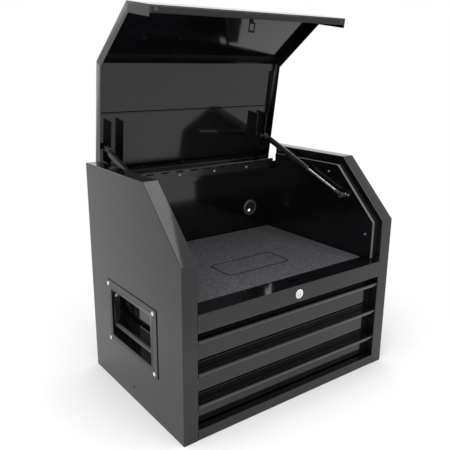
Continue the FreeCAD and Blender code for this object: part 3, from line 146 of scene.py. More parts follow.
class SheetSettings(PropertyGroup):
    """Sizes of the folded sheet that the new pieces share."""

    steel: length("Pull sheet", "Thickness of the drawer pulls", 1.5 * MM)
    pull_lip: length("Pull lip", "Height of the rolled lip of a pull", 12 * MM)
    pull_return: length("Pull return", "Lip turned back under the nose", 6.5 * MM)
    pull_leg: length("Pull leg", "Leg that lies on the drawer front", 16 * MM)
    pull_round: length("Pull nose", "Outer radius of the pull's nose", 2.5 * MM)
    pull_lean: tilt("Pull lean", "Inward lean of the lip from upright", 22)
    plate: length("Lid plate", "Thickness of the lid's inner plate", 0.8 * MM)
    plate_hem: length("Plate hem", "Height of the hem along that plate's top edge", 2.5 * MM)
    plate_height: length("Plate height", "Height of that plate above the hinge leaf", 163 * MM)
    # A pale strip on each ledge, sized like a thin tape, stands for light reflected by the black paint there: a
    # painted reflection
    painted_reflection: length("Tape", "Thickness of the foam tape on the ledges", 0.8 * MM)
    painted_reflection_width: length("Tape width", "Width of the tape", 8 * MM)
    painted_reflection_start: length("Tape start", "Side of the tape nearest the middle", 295.5 * MM)
    painted_reflection_foot: length("Tape foot", "Gap at each end of the tape", 4 * MM)
    bend_steps: IntProperty(name="Bend steps", description="Faces round one bend", default=8,
                            min=2, max=24)


class FoamSettings(PropertyGroup):
    """The mat on the floor of the top compartment."""

    colour: tint("Foam", "Colour of the foam", (0.012, 0.012, 0.014))
    # The raised grains' paler colour is a painted highlight
    grain_highlight: tint("Fleck", "Colour of the raised grains", (0.105, 0.105, 0.118))
    grain: length("Grain", "Height of the pebbled surface", 0.35 * MM)
    spacing: length("Spacing", "Spacing of the surface's grid", 2.0 * MM, 0.5 * MM)
    corner: length("Corner", "Radius of the mat's corners", 6 * MM)
    panel_width: length("Panel width", "Width of the plain pressed panel", 210 * MM)
    panel_depth: length("Panel depth", "Depth of the plain pressed panel", 92 * MM)
    panel_shift: length("Panel shift", "Middle of the panel, front to back", -38 * MM, -1.0)
    panel_corner: length("Panel corner", "Corner radius of the panel", 14 * MM)
    panel_press: length("Panel press", "Depth of the panel's pressed border", 1.4 * MM)
    border: length("Border", "Width of the panel's pressed border", 6.5 * MM)


class StrutSettings(PropertyGroup):
    """Gas struts and their plastic ball sockets."""

    tube_radius: length("Tube radius", "Outer radius of the tube", 9 * MM)
    tube_length: length("Tube length", "Length of the tube", 200 * MM)
    rod_radius: length("Rod radius", "Radius of the rod", 4 * MM)
    neck_length: length("Neck length", "From a socket's middle to the rod or tube", 24 * MM)
    neck_radius: length("Neck radius", "Radius of a socket's neck", 6 * MM)
    socket_radius: length("Socket radius", "Radius of a socket's cup", 8 * MM)
    socket_half: length("Socket half", "Half of a socket's width", 7 * MM)


class StageSettings(PropertyGroup):
    """Floor, light and camera."""

    floor_colour: tint("Floor", "Colour of the floor", (0.92, 0.92, 0.92))
    floor_half: length("Floor half", "Half of the floor's width", 6.0, 1.0, 50.0)
    fade_start: length("Fade start", "Where the floor starts to run out to white", 0.5)
    fade_end: length("Fade end", "Where the floor is white", 0.95, 0.0, 10.0)
    fill: FloatProperty(name="Fill", description="Strength of the even light", default=0.66, min=0.0,
                        max=4.0)
    camera_place: FloatVectorProperty(name="Camera", description="Place of the camera", size=3,
                                      default=(-0.9332, -1.1824, 0.8467), subtype="TRANSLATION")
    azimuth: tilt("Azimuth", "Turn of the view from straight on", 36.48)
    elevation: tilt("Elevation", "Downward tilt of the view", 15.85)
    roll: tilt("Roll", "Roll of the camera", 0.35)
    lens: FloatProperty(name="Lens", description="Focal length in millimetres", default=45.344,
                        min=10.0, max=200.0)


# ---------------- surfaces


def grid_faces(rows, columns, wrap_columns, first):
    """Quads of a grid: (i, j), (i, j+1), (i+1, j+1), (i+1, j), numbered from the first point."""
    i, j = np.meshgrid(np.arange(rows - 1), np.arange(columns if wrap_columns else columns - 1),
                       indexing="ij")
    below, beside = i + 1, (j + 1) % columns
    quads = np.stack([i * columns + j, i * columns + beside, below * columns + beside,
                      below * columns + j], axis=-1)
    return (quads.reshape(-1, 4) + first).tolist()


class Surface:
    """Grids of points gathered into one mesh."""

    def __init__(self):
        self.points, self.faces, self.count = [], [], 0

    def grid(self, points, wrap_columns=False, cap_rows=False):
        """Adds a grid, rows by columns by 3. cap_rows closes the first and last row with a face,
        or the last alone where it says last."""
        rows, columns = points.shape[:2]
        self.faces += grid_faces(rows, columns, wrap_columns, self.count)
        if cap_rows:
            first = np.arange(columns) + self.count
            last = (first + (rows - 1) * columns).tolist()
            self.faces += [last] if cap_rows == "last" else [first[::-1].tolist(), last]
        self.points.append(points.reshape(-1, 3))
        self.count += rows * columns
        return self

    def turned(self, profile, place, direction, around=ROUND):
        """Adds a profile turned about a direction, closed all round."""
        return self.grid(lathe(profile, place, direction, around), wrap_columns=True)

    def build(self, name, material, sharp=SHARP):
        """The mesh object: doubles merged, faces turned outwards, smooth but for sharp bends."""
        mesh = bpy.data.meshes.new(name)
        mesh.from_pydata(np.concatenate(self.points).tolist(), [], self.faces)
        return finished(name, mesh, material, sharp)


def linked(name, data):
    """A new object of some data, in the scene."""
    thing = bpy.data.objects.new(name, data)
    bpy.context.scene.collection.objects.link(thing)
    return thing


def foreach(items, name, width=1, kind=float):
    """One attribute of all a mesh's items as an array."""
    flat = np.empty(len(items) * width, kind)
    items.foreach_get(name, flat)
    return flat.reshape(-1, width) if width > 1 else flat


def weigh_normals(mesh):
    """Keeps flat faces flat next to a bend.

    Faces in one plane at a vertex count as one. A corner takes the normal of the largest face
    at its vertex when that face is within BEND_REACH degrees of its own and over FLAT_SHARE
    times as large, so bends blend into the flats. The largest face's own corners stay flat.
    """
    area, face_normal = foreach(mesh.polygons, "area"), foreach(mesh.polygons, "normal", 3)
    vertex = foreach(mesh.loops, "vertex_index", kind=int)
    corner = foreach(mesh.corner_normals, "vector", 3)
    sizes = foreach(mesh.polygons, "loop_total", kind=int)
    face = np.repeat(np.arange(len(sizes)), sizes)
    plane = np.round(face_normal[face], 3)
    key = np.concatenate([vertex[:, None], (plane * 1000).astype(int)], axis=1)
    _, group = np.unique(key, axis=0, return_inverse=True)
    group = group.ravel()
    weight = np.bincount(group, area[face])[group]
    order = np.lexsort((-weight, vertex))
    first = np.searchsorted(vertex[order], np.arange(len(mesh.vertices)))
    best = order[np.minimum(first, len(vertex) - 1)][vertex]
    near = (face_normal[face] * face_normal[face[best]]).sum(1) > math.cos(math.radians(BEND_REACH))
    flat = near & (weight[best] > FLAT_SHARE * weight)
    own = weight >= OWN_SHARE * weight[best]
    corner = np.where(flat[:, None], face_normal[face[best]], corner)
    corner = np.where(own[:, None], face_normal[face], corner)
    mesh.normals_split_custom_set(corner.tolist())


def finished(name, mesh, material, sharp=SHARP, merge=MERGE, turn=True):
    """Cleans a mesh and puts it in an object at the origin."""
    work = bmesh.new()
    work.from_mesh(mesh)
    bmesh.ops.remove_doubles(work, verts=work.verts, dist=merge)
    bmesh.ops.dissolve_degenerate(work, edges=work.edges, dist=merge / 4)
    if turn:
        bmesh.ops.recalc_face_normals(work, faces=work.faces)
    work.to_mesh(mesh)
    work.free()
    mesh.shade_smooth()
    mesh.set_sharp_from_angle(angle=math.radians(sharp))
    weigh_normals(mesh)
    mesh.materials.clear()
    mesh.materials.append(material)
    return linked(name, mesh)


def go_with(piece, node):
    """The piece rides on a node's body."""
    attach(piece, BODY_OF[node])
    return piece


def stand_for(piece, node):
    """The piece goes with a node and hides it."""
    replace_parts(go_with(piece, node), node)
    return piece


def rounded(corners, radii, steps=5):
    """A line through corners with each inner corner cut by an arc.

    For unit vectors a and b from a corner to its neighbours, the arc of radius r starts at
    distance r / tan(half the angle between a and b) along each, and its points are the
    great-circle blend of the two spokes from its centre. A radius of 0 keeps the corner.
    """
    corners = np.asarray(corners, float)
    here, back, ahead = corners[1:-1], corners[:-2], corners[2:]
    radii = np.broadcast_to(np.asarray(radii, float), here.shape[:1])[:, None]
    a = (back - here) / np.linalg.norm(back - here, axis=1, keepdims=True)
    b = (ahead - here) / np.linalg.norm(ahead - here, axis=1, keepdims=True)
    half = np.arccos(np.clip((a * b).sum(1, keepdims=True), -1, 1)) / 2
    centre = here + (a + b) / np.linalg.norm(a + b, axis=1, keepdims=True) * radii / np.sin(half)
    start = here + a * radii / np.tan(half) - centre
    stop = here + b * radii / np.tan(half) - centre
    turn = (math.pi - 2 * half)[:, None, :]
    t = np.linspace(0, 1, steps + 1)[None, :, None]
    arcs = (np.sin((1 - t) * turn) * start[:, None] + np.sin(t * turn) * stop[:, None]) / np.sin(turn)
    inner = (centre[:, None] + arcs).reshape(-1, 2)
    return np.concatenate([corners[:1], inner, corners[-1:]])


def mitres(line):
    """At each point of a line, the step to its left that moves both its edges by one.

    It is the sum of the two edges' unit normals, times 2 over its own square.
    """
    edge = np.diff(line, axis=0)
    edge = edge / np.linalg.norm(edge, axis=1, keepdims=True)
    normal = np.stack([-edge[:, 1], edge[:, 0]], axis=1)
    both = np.concatenate([normal[:1], normal]) + np.concatenate([normal, normal[-1:]])
    return both / (both * both).sum(1, keepdims=True) * 2


def thickened(line, sheet):
    """Closed outline of a strip: the line, and the line moved to its left by the sheet."""
    return np.concatenate([line, (line + mitres(line) * sheet)[::-1]])


def bar(name, outline, ends, material):
    """A closed outline in (y, z) swept between two values of X, with a face at each end."""
    rows = np.empty((2, len(outline), 3))
    rows[..., 0] = np.array(ends)[:, None]
    rows[..., 1:] = outline
    return Surface().grid(rows, wrap_columns=True, cap_rows=True).build(name, material)


def node_ends(node):
    """A CAD node's lowest and highest X."""
    return [corner[0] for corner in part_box(node)]


def basis(direction):
    """Three unit columns, the last along the direction and the first level where it can be."""
    w = np.asarray(direction, float)
    w = w / np.linalg.norm(w)
    up = np.array([0.0, 0.0, 1.0]) if abs(w[2]) < 0.9 else np.array([1.0, 0.0, 0.0])
    u = np.cross(up, w)
    u = u / np.linalg.norm(u)
    return np.stack([u, np.cross(w, u), w], axis=1)


def placed(turn, place):
    """A turn (unit columns) and a place as one matrix."""
    return Matrix(turn.tolist()).to_4x4() + Matrix.Translation(place) - Matrix.Identity(4)


def lathe(profile, place, direction, around):
    """A profile of (distance along, radius) turned about a direction.

    Point (i, j) is at radius r_i and angle 2 pi j / around, at distance t_i along the axis.
    """
    profile = np.asarray(profile, float)
    angle = np.arange(around) * 2 * math.pi / around
    points = np.empty((len(profile), around, 3))
    points[..., 0] = profile[:, 1:2] * np.cos(angle)
    points[..., 1] = profile[:, 1:2] * np.sin(angle)
    points[..., 2] = profile[:, :1]
    return points @ basis(direction).T + np.asarray(place, float)


def node_points(node):
    """A CAD node's vertices as an array."""
    return foreach(frame["nodes"][node].data.vertices, "co", 3)


def node_box(node):
    """A CAD node's lowest and highest corner as arrays."""
    return tuple(np.array(corner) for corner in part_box(node))


def round_piece(node):
    """Place of a round node's front face on its axis along Y, its depth and its radius."""
    low, high = node_box(node)
    centre = (low + high) / 2
    return (centre[0], low[1], centre[2]), high[1] - low[1], (high[0] - low[0]) / 2


def spots(node):
    """Lowest and highest corner of each separate fastener in a node."""
    left, found = node_points(node), []
    while len(left):
        near = np.linalg.norm(left - left[0], axis=1) < FASTENER_REACH
        found.append((left[near].min(0), left[near].max(0)))
        left = left[~near]
    return found


def smooth_copy(node, material=None):
    """A CAD node's own solid, merged, with smooth bends, standing for the node."""
    mesh = frame["nodes"][node].data.copy()
    piece = finished(node + "_skin", mesh, material or finish_of(node), COPY_SHARP, MERGE / 2,
                     turn=False)
    return stand_for(piece, node)


def smooth_copies(*nodes):
    """Smooth copies of several nodes in their slots' finishes."""
    for node in nodes:
        smooth_copy(node)


# ---------------- finishes


FINISHES = {}


def finish_of(node):
    """The material of the slot that the record gives a node."""
    return FINISHES[SLOT_OF[node]]


class Shading:
    """A node tree put together by socket names."""

    def __init__(self, tree):
        self.tree = tree

    def add(self, kind, inputs=None, **attributes):
        node = self.tree.nodes.new(kind)
        for name, value in attributes.items():
            setattr(node, name, value)
        for name, value in (inputs or {}).items():
            node.inputs[name].default_value = value
        return node

    def join(self, output, target):
        self.tree.links.new(output, target)

    def mix(self, factor, first, second, target):
        """Two shaders blended by a factor, into a socket."""
        node = self.add("ShaderNodeMixShader")
        self.join(factor, node.inputs["Fac"])
        self.join(first, node.inputs[1])
        self.join(second, node.inputs[2])
        self.join(node.outputs["Shader"], target)

    def looked_at(self):
        """1 for what the camera, a reflection or a clear piece looks at, and 0 for light."""
        path = self.add("ShaderNodeLightPath")
        found = path.outputs["Is Camera Ray"]
        for ray in ("Is Glossy Ray", "Is Transmission Ray"):
            either = self.add("ShaderNodeMath", operation="MAXIMUM")
            self.join(found, either.inputs[0])
            self.join(path.outputs[ray], either.inputs[1])
            found = either.outputs[0]
        return found


class Finish(Shading):
    """One node material, on Object coordinates, kept in FINISHES by its name."""

    def __init__(self, name):
        self.material = FINISHES[name] = bpy.data.materials.new(name)
        self.material.use_nodes = True
        super().__init__(self.material.node_tree)
        self.shader = self.tree.nodes["Principled BSDF"]
        self.place = self.add("ShaderNodeTexCoord").outputs["Object"]

    def give(self, name, value):
        """A constant on the shader's own socket."""
        self.shader.inputs[name].default_value = value

    def noise(self, scale, detail=2.0, rough=0.5):
        node = self.add("ShaderNodeTexNoise", {"Scale": scale, "Detail": detail, "Roughness": rough})
        self.join(self.place, node.inputs["Vector"])
        return node.outputs["Fac"]

    def cells(self, scale):
        node = self.add("ShaderNodeTexVoronoi", {"Scale": scale})
        self.join(self.place, node.inputs["Vector"])
        return node.outputs["Distance"]

    def ramp(self, value, low, high, at=(0.35, 0.65)):
        """Colours blended between two stops of a value."""
        node = self.add("ShaderNodeValToRGB")
        for stop, place, colour in zip(node.color_ramp.elements, at, (low, high)):
            stop.position, stop.color = place, (*colour, 1.0)
        self.join(value, node.inputs["Fac"])
        return node.outputs["Color"]

    def colour(self, value, base, dark, light, at=(0.35, 0.65)):
        """Base colour from a darker to a lighter multiple of a colour, by a value."""
        base = np.array(base)
        self.join(self.ramp(value, base * dark, np.minimum(base * light, 1), at),
                  self.shader.inputs["Base Color"])

    def roughness(self, value, low, high):
        """Roughness from a value, whose 0.3 to 0.7 is stretched onto a range."""
        node = self.add("ShaderNodeMapRange", {"From Min": 0.3, "From Max": 0.7, "To Min": low,
                                               "To Max": high})
        self.join(value, node.inputs["Value"])
        self.join(node.outputs["Result"], self.shader.inputs["Roughness"])

    def bump(self, value, strength, depth, normal=None):
        node = self.add("ShaderNodeBump", {"Strength": strength, "Distance": depth})
        self.join(value, node.inputs["Height"])
        if normal is not None:
            self.join(normal, node.inputs["Normal"])
        self.join(node.outputs["Normal"], self.shader.inputs["Normal"])
        return node.outputs["Normal"]


def paint(name, colour, roughness, index, peel):
    """Powder coat: a dark film with a slow ripple, a fine one over it and faint smears."""
    finish = Finish(name)
    finish.colour(finish.noise(7.0, 5.0, 0.6), colour, 0.75, 1.35)
    finish.roughness(finish.noise(16.0, 4.0, 0.65), roughness * 0.7, roughness * 1.5)
    finish.give("IOR", index)
    ripple = finish.bump(finish.noise(260.0, 1.0), peel, 0.25 * MM)
    finish.bump(finish.noise(1800.0, 1.0), peel * 0.5, 0.05 * MM, ripple)


def metal(name, colour, roughness, grain=900.0):
    """Bare or plated metal, with fine uneven roughness and faint cloudy colour."""
    finish = Finish(name)
    finish.give("Metallic", 1.0)
    finish.colour(finish.noise(45.0, 4.0, 0.6), colour, 0.88, 1.06)
    finish.roughness(finish.noise(grain, 2.0), roughness * 0.7, roughness * 1.4)
    finish.bump(finish.noise(grain * 1.7, 1.0), 0.05, 0.05 * MM)


def moulded(name, colour, roughness, grain=1500.0):
    """Moulded plastic: a fine even grain and slight unevenness of sheen."""
    finish = Finish(name)
    finish.colour(finish.noise(60.0, 3.0), colour, 0.8, 1.3)
    finish.roughness(finish.noise(120.0, 3.0), roughness * 0.85, roughness * 1.15)
    finish.bump(finish.noise(grain, 2.0), 0.25, 0.08 * MM)


def foam_finish(name, foam):
    """Pebbled closed-cell foam: dark between paler grains a few millimetres across, the grains paler where they
    stand higher, a painted highlight, with random tone from a finer grain; and painted shade in the pressed
    border, darker the lower it lies."""
    finish = Finish(name)
    finish.give("Specular IOR Level", 0.25)
    coarse, fine = finish.noise(270.0, 2.0, 0.6), finish.noise(620.0, 2.0, 0.7)
    both = finish.add("ShaderNodeMath", {1: 0.6}, operation="MULTIPLY_ADD")
    finish.join(fine, both.inputs[0])
    finish.join(coarse, both.inputs[2])
    # The coarse grain that raises the bump also pales the colour, a painted highlight on the higher grains; the
    # fine grain adds random tone
    tone = finish.ramp(both.outputs[0], tuple(foam.colour), tuple(foam.grain_highlight), (0.62, 0.98))
    # Painted shade: the colour darkens to a fifth where the pressed border lies lowest
    split = finish.add("ShaderNodeSeparateXYZ")
    finish.join(finish.place, split.inputs["Vector"])
    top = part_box("foam_mat")[1][2]
    recess_shade = finish.add("ShaderNodeMapRange", {"From Min": top - 0.9 * foam.panel_press,
                                             "From Max": top - 0.45 * foam.panel_press,
                                             "To Min": 0.2, "To Max": 1.0})
    finish.join(split.outputs["Z"], recess_shade.inputs["Value"])
    shaded = finish.add("ShaderNodeVectorMath", operation="SCALE")
    finish.join(tone, shaded.inputs[0])
    finish.join(recess_shade.outputs["Result"], shaded.inputs["Scale"])
    finish.join(shaded.outputs["Vector"], finish.shader.inputs["Base Color"])
    finish.roughness(fine, 0.62, 0.9)
    pits = finish.bump(finish.cells(480.0), 0.6, 0.35 * MM)
    finish.bump(coarse, 0.5, 0.3 * MM, pits)


def sponge(name, colour):
    """Matt sponge rubber with small open pores, each darker towards its middle, a painted shade."""
    finish = Finish(name)
    finish.give("Specular IOR Level", 0.3)
    pores = finish.cells(900.0)
    # Painted shade: the colour darkens in the middle of each pore, where the bump sinks
    finish.colour(pores, colour, 0.5, 1.4, (0.1, 0.5))
    finish.roughness(finish.noise(200.0), 0.55, 0.75)
    finish.bump(pores, 0.35, 0.15 * MM)


def make_finishes(settings, foam):
    """One material for each of the record's slots, and the rods' own, the ledges' pale strip, a painted
    reflection, the rim's paler copy with painted highlight and the cover's darker copy with painted shade.
    """
    film = (settings.film_index, settings.peel)
    paint("gloss_black_paint", settings.gloss_colour, settings.gloss_roughness, *film)
    paint("inner_black_paint", settings.satin_colour, settings.satin_roughness, *film)
    foam_finish("mat_foam", foam)
    sponge("seal_rubber", (0.013, 0.013, 0.0145))
    metal("chrome", (0.82, 0.82, 0.84), 0.2)
    metal("zinc_steel", (0.50, 0.51, 0.54), 0.30, 700.0)
    paint("black_steel", (0.010, 0.010, 0.011), 0.17, *film)
    moulded("black_plastic", (0.03, 0.03, 0.031), 0.36)
    # Lit and shaded copies of one black plastic: the rim's paler colour is a painted highlight, the cover's darker
    # colour painted shade
    moulded("rim_plastic_painted_highlight", (0.055, 0.055, 0.057), 0.3)
    moulded("cover_plastic_painted_shade", (0.012, 0.012, 0.013), 0.24)
    metal("screw_steel", (0.30, 0.30, 0.31), 0.3, 1200.0)
    metal("rod_steel", (0.82, 0.82, 0.84), 0.24, 500.0)
    # Pale strips on the ledges: a painted reflection of light on the black paint
    sponge("ledge_painted_reflection", (0.13, 0.13, 0.133))


# ---------------- operators


class FinishesOperator(Operator):
    """Makes the materials and puts them on every CAD piece"""

    bl_idname = "tool_chest.finishes"
    bl_label = "Finishes"

    def execute(self, context):
        make_finishes(context.scene.chest_paint, context.scene.chest_foam)
        for node, piece in frame["nodes"].items():
            piece.data.materials.clear()
            piece.data.materials.append(finish_of(node))
        return {"FINISHED"}


class ShellOperator(Operator):
    """Side panels, inner walls, back, base and the two front rails"""

    bl_idname = "tool_chest.shell"
    bl_label = "Shell"

    def execute(self, context):
        smooth_copies("left_side_panel", "right_side_panel", "left_inner_wall", "right_inner_wall",
                      "back_panel", "base_pan", "bottom_rail", "lock_rail", "deck_panel")
        self.rear_lip()
        return {"FINISHED"}

    @staticmethod
    def rear_lip():
        """Thin lip on the rear rail that closes the slots under the hinge's knuckles."""
        rail, width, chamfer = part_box("back_panel"), 3.6 * MM, 0.4 * MM
        y, z = rail[0][1] + 0.4 * MM, rail[1][2] + 0.05 * MM
        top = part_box("hinge_lid_leaf")[0][2] - 0.1 * MM
        outline = np.array([(y, z), (y + width, z), (y + width, top - chamfer),
                            (y + width - chamfer, top), (y + chamfer, top), (y, top - chamfer)])
        lip = bar("rear_rail_lip", outline, node_ends("hinge_fixed_leaf"), finish_of("back_panel"))
        go_with(lip, "back_panel")


def pebbles(shape, seed, passes):
    """Smooth random grain from 0 to 1: seeded noise, each pass averaging a point's neighbours."""
    field = np.random.default_rng(seed).random(shape)
    for _ in range(passes):
        field = (field + np.roll(field, 1, 0) + np.roll(field, 1, 1) + np.roll(field, (1, 1), (0, 1))) / 4
    return (field - field.min()) / (field.max() - field.min())


class MatOperator(Operator):
    """Pebbled foam mat with a plain pressed border in its middle"""

    bl_idname = "tool_chest.mat"
    bl_label = "Mat"

    def execute(self, context):
        """The top is a grid less four depths: a rolled edge, (1 - edge / width) squared; the
        panel's border, a flat-topped dip exp(-(away / half width) ^ 4); the panel itself, sunk
        by a logistic step; and the grain, fainter in the border."""
        foam = context.scene.chest_foam
        low, high = node_box("foam_mat")
        roll_drop, roll_width, sink, sink_blend = (mm * MM for mm in (1.2, 3, 0.35, 0.6))
        across = np.linspace(low[0], high[0], int((high[0] - low[0]) / foam.spacing) + 1)
        deep = np.linspace(low[1], high[1], int((high[1] - low[1]) / foam.spacing) + 1)
        x, y = np.meshgrid(across, deep, indexing="ij")
        x, y = self.cornered(x, y, low, high, foam.corner)
        edge = np.minimum.reduce([x - low[0], high[0] - x, y - low[1], high[1] - y])
        roll = roll_drop * (1 - np.clip(edge / roll_width, 0, 1)) ** 2
        away = self.from_border(x, y, foam)
        press = foam.panel_press * np.exp(-np.clip(np.abs(away) / (foam.border / 2), 0, 9) ** 4)
        inside = sink / (1 + np.exp(np.clip(away / sink_blend, -40, 40)))
        grain = foam.grain * pebbles(x.shape, seed=7, passes=2)
        fainter = 0.6
        top = high[2] - roll - press - inside - grain * (1 - fainter * press / foam.panel_press)
        upper = np.stack([x, y, top], axis=-1)
        surface = Surface().grid(upper)
        rim = np.concatenate([upper[:, 0], upper[-1, 1:], upper[-2::-1, -1], upper[0, -2:0:-1]])
        foot = rim.copy()
        foot[:, 2] = low[2]
        surface.grid(np.stack([rim, foot]), wrap_columns=True, cap_rows="last")
        mat = surface.build("mat_pebbled", FINISHES["mat_foam"], sharp=50)
        stand_for(mat, "foam_mat")
        return {"FINISHED"}

    @staticmethod
    def cornered(x, y, low, high, radius):
        """Points past a corner's arc are drawn in to it: the offset from the arc's centre is
        shortened to the radius."""
        centre_x = np.clip(x, low[0] + radius, high[0] - radius)
        centre_y = np.clip(y, low[1] + radius, high[1] - radius)
        off = np.hypot(x - centre_x, y - centre_y)
        pull = np.where(off > radius, radius / np.maximum(off, 1e-9), 1.0)
        return centre_x + (x - centre_x) * pull, centre_y + (y - centre_y) * pull

    @staticmethod
    def from_border(x, y, foam):
        """Signed distance to the panel's rounded outline, negative inside."""
        across = np.abs(x) - foam.panel_width / 2 + foam.panel_corner
        deep = np.abs(y - foam.panel_shift) - foam.panel_depth / 2 + foam.panel_corner
        outside = np.hypot(np.maximum(across, 0), np.maximum(deep, 0))
        return outside + np.minimum(np.maximum(across, deep), 0) - foam.panel_corner


class LedgesOperator(Operator):
    """Pale strips on the ledges that the lid's flanges land on, a painted reflection of light on the black paint
    """

    bl_idname = "tool_chest.ledges"
    bl_label = "Ledge Tape"

    def execute(self, context):
        size, foot = context.scene.chest_sheet, 0.2 * MM
        for side, sign in SIDES:
            wall = f"{side}_inner_wall"
            near, far = np.array([size.painted_reflection_start, size.painted_reflection_start + size.painted_reflection_width]) * sign
            loop = [(foot, near), (size.painted_reflection, near), (size.painted_reflection, far), (foot, far)]
            # Each pale strip stands for light reflected off the ledge's black paint: a painted reflection
            painted_reflection = Surface().grid(self.swept(self.ledge_line(node_points(wall), size), loop),
                                  wrap_columns=True, cap_rows=True)
            go_with(painted_reflection.build(f"{side}_ledge_painted_reflection", FINISHES["ledge_painted_reflection"], sharp=25), wall)
        return {"FINISHED"}

    @staticmethod
    def ledge_line(wall, size):
        """The ledge's line in (y, z): up the front, along the slope and back along the top."""
        edge = wall[wall[:, 1] < wall[:, 1].min() + 0.5 * MM]
        side = np.abs(edge[:, 0]).max()
        rim = wall[np.abs(np.abs(wall[:, 0]) - side) < 0.1 * MM][:, 1:]
        front, back, top = rim[:, 0].min(), rim[:, 0].max(), rim[:, 1].max()
        rise = (rim[:, 1] - rim[:, 0]).max()
        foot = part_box("lock_rail")[1][2] + size.painted_reflection_foot
        return np.array([(front, foot), (front, front + rise), (top - rise, top),
                         (back - size.painted_reflection_foot, top)])

    @staticmethod
    def swept(path, loop):
        """A loop of (height above the path, x) carried along it, mitred at its bends."""
        loop = np.asarray(loop)
        rows = np.empty((len(path), len(loop), 3))
        rows[..., 0] = loop[:, 1]
        rows[..., 1:] = path[:, None] + mitres(path)[:, None] * loop[:, :1]
        return rows


class LidOperator(Operator):
    """Lid skin, stiffener, striker, strut brackets and the sponge seal"""

    bl_idname = "tool_chest.lid"
    bl_label = "Lid"

    def execute(self, context):
        smooth_copies("lid_panel", "lid_stiffener", "lid_striker", "left_strut_bracket",
                      "right_strut_bracket", "lid_seal", "hinge_fixed_leaf", "hinge_lid_leaf",
                      "hinge_pin")
        self.inner_plate(context.scene.chest_sheet)
        self.buttons()
        return {"FINISHED"}

    @staticmethod
    def inner_plate(sheet):
        """Plate on the rear flat's inner face, from the hinge leaf up to a hemmed top edge.

        Its section is drawn in (rise, height off the face) along the open lid's own directions.
        """
        face = (node_points("left_strut_bracket") @ LID_INWARD).min()
        bottom = (node_points("hinge_lid_leaf") @ LID_RISE).max() + 3 * MM
        top, thin, hem = bottom + sheet.plate_height, sheet.plate, sheet.plate_hem
        section = np.array([(bottom, 0.0), (top, 0.0), (top - 0.8 * hem, hem),
                            (top - 1.6 * hem, hem), (top - 2 * hem, thin), (bottom, thin)])
        outline = section[:, :1] * LID_RISE[1:] + (section[:, 1:] + face) * LID_INWARD[1:]
        plate = bar("lid_inner_plate", outline, node_ends("hinge_lid_leaf"), finish_of("lid_panel"))
        go_with(plate, "lid_panel")

    @staticmethod
    def buttons():
        """Plastic push rivets near both ends of the seal, domed on its open face."""
        seal, from_end = node_points("lid_seal"), 11 * MM
        reach = seal @ LID_INWARD
        face = seal[reach > reach.max() - 0.3 * MM]
        middle = (face.min(0) + face.max(0)) / 2
        dome = rounded([(0.0, 0.0), (0.0, 4.8 * MM), (0.6 * MM, 4.3 * MM), (0.8 * MM, 0.0)],
                       (0.1 * MM, 0.3 * MM))
        surface = Surface()
        for x in (seal[:, 0].min() + from_end, seal[:, 0].max() - from_end):
            surface.turned(dome, (x, *middle[1:]), LID_INWARD, around=24)
        go_with(surface.build("seal_buttons", FINISHES["black_plastic"]), "lid_seal")


class DrawersOperator(Operator):
    """Drawer fronts, rolled pulls, trays and slides"""

    bl_idname = "tool_chest.drawers"
    bl_label = "Drawers"

    def execute(self, context):
        sheet = context.scene.chest_sheet
        for number in (1, 2, 3):
            self.pull(f"drawer_{number}_pull", sheet)
            smooth_copies(*(f"drawer_{number}_{part}"
                            for part in ("front", "tray", "slide_inners", "slide_middles")))
        smooth_copy("slide_outers")
        return {"FINISHED"}

    @staticmethod
    def pull(node, sheet):
        """Line of the pull's outer face in (y, z): leg, shelf, rolled nose, leaning lip, return."""
        low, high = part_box(node)
        nose, face, top = low.y, high.y, high.z
        steel = sheet.steel
        lip = top - sheet.pull_lip
        foot = nose + steel + (top - lip - 2 * steel) * math.tan(sheet.pull_lean)
        corners = [(face - steel, top - sheet.pull_leg), (face - steel, top - steel),
                   (nose + steel, top - steel), (foot, lip + steel),
                   (foot + sheet.pull_return, lip + steel)]
        leg_round, nose_round = 0.6 * MM, sheet.pull_round - steel
        line = rounded(corners, (leg_round, nose_round, nose_round), sheet.bend_steps)
        outline = thickened(line, -steel)
        stand_for(bar(node + "_rolled", outline, node_ends(node), finish_of(node)), node)


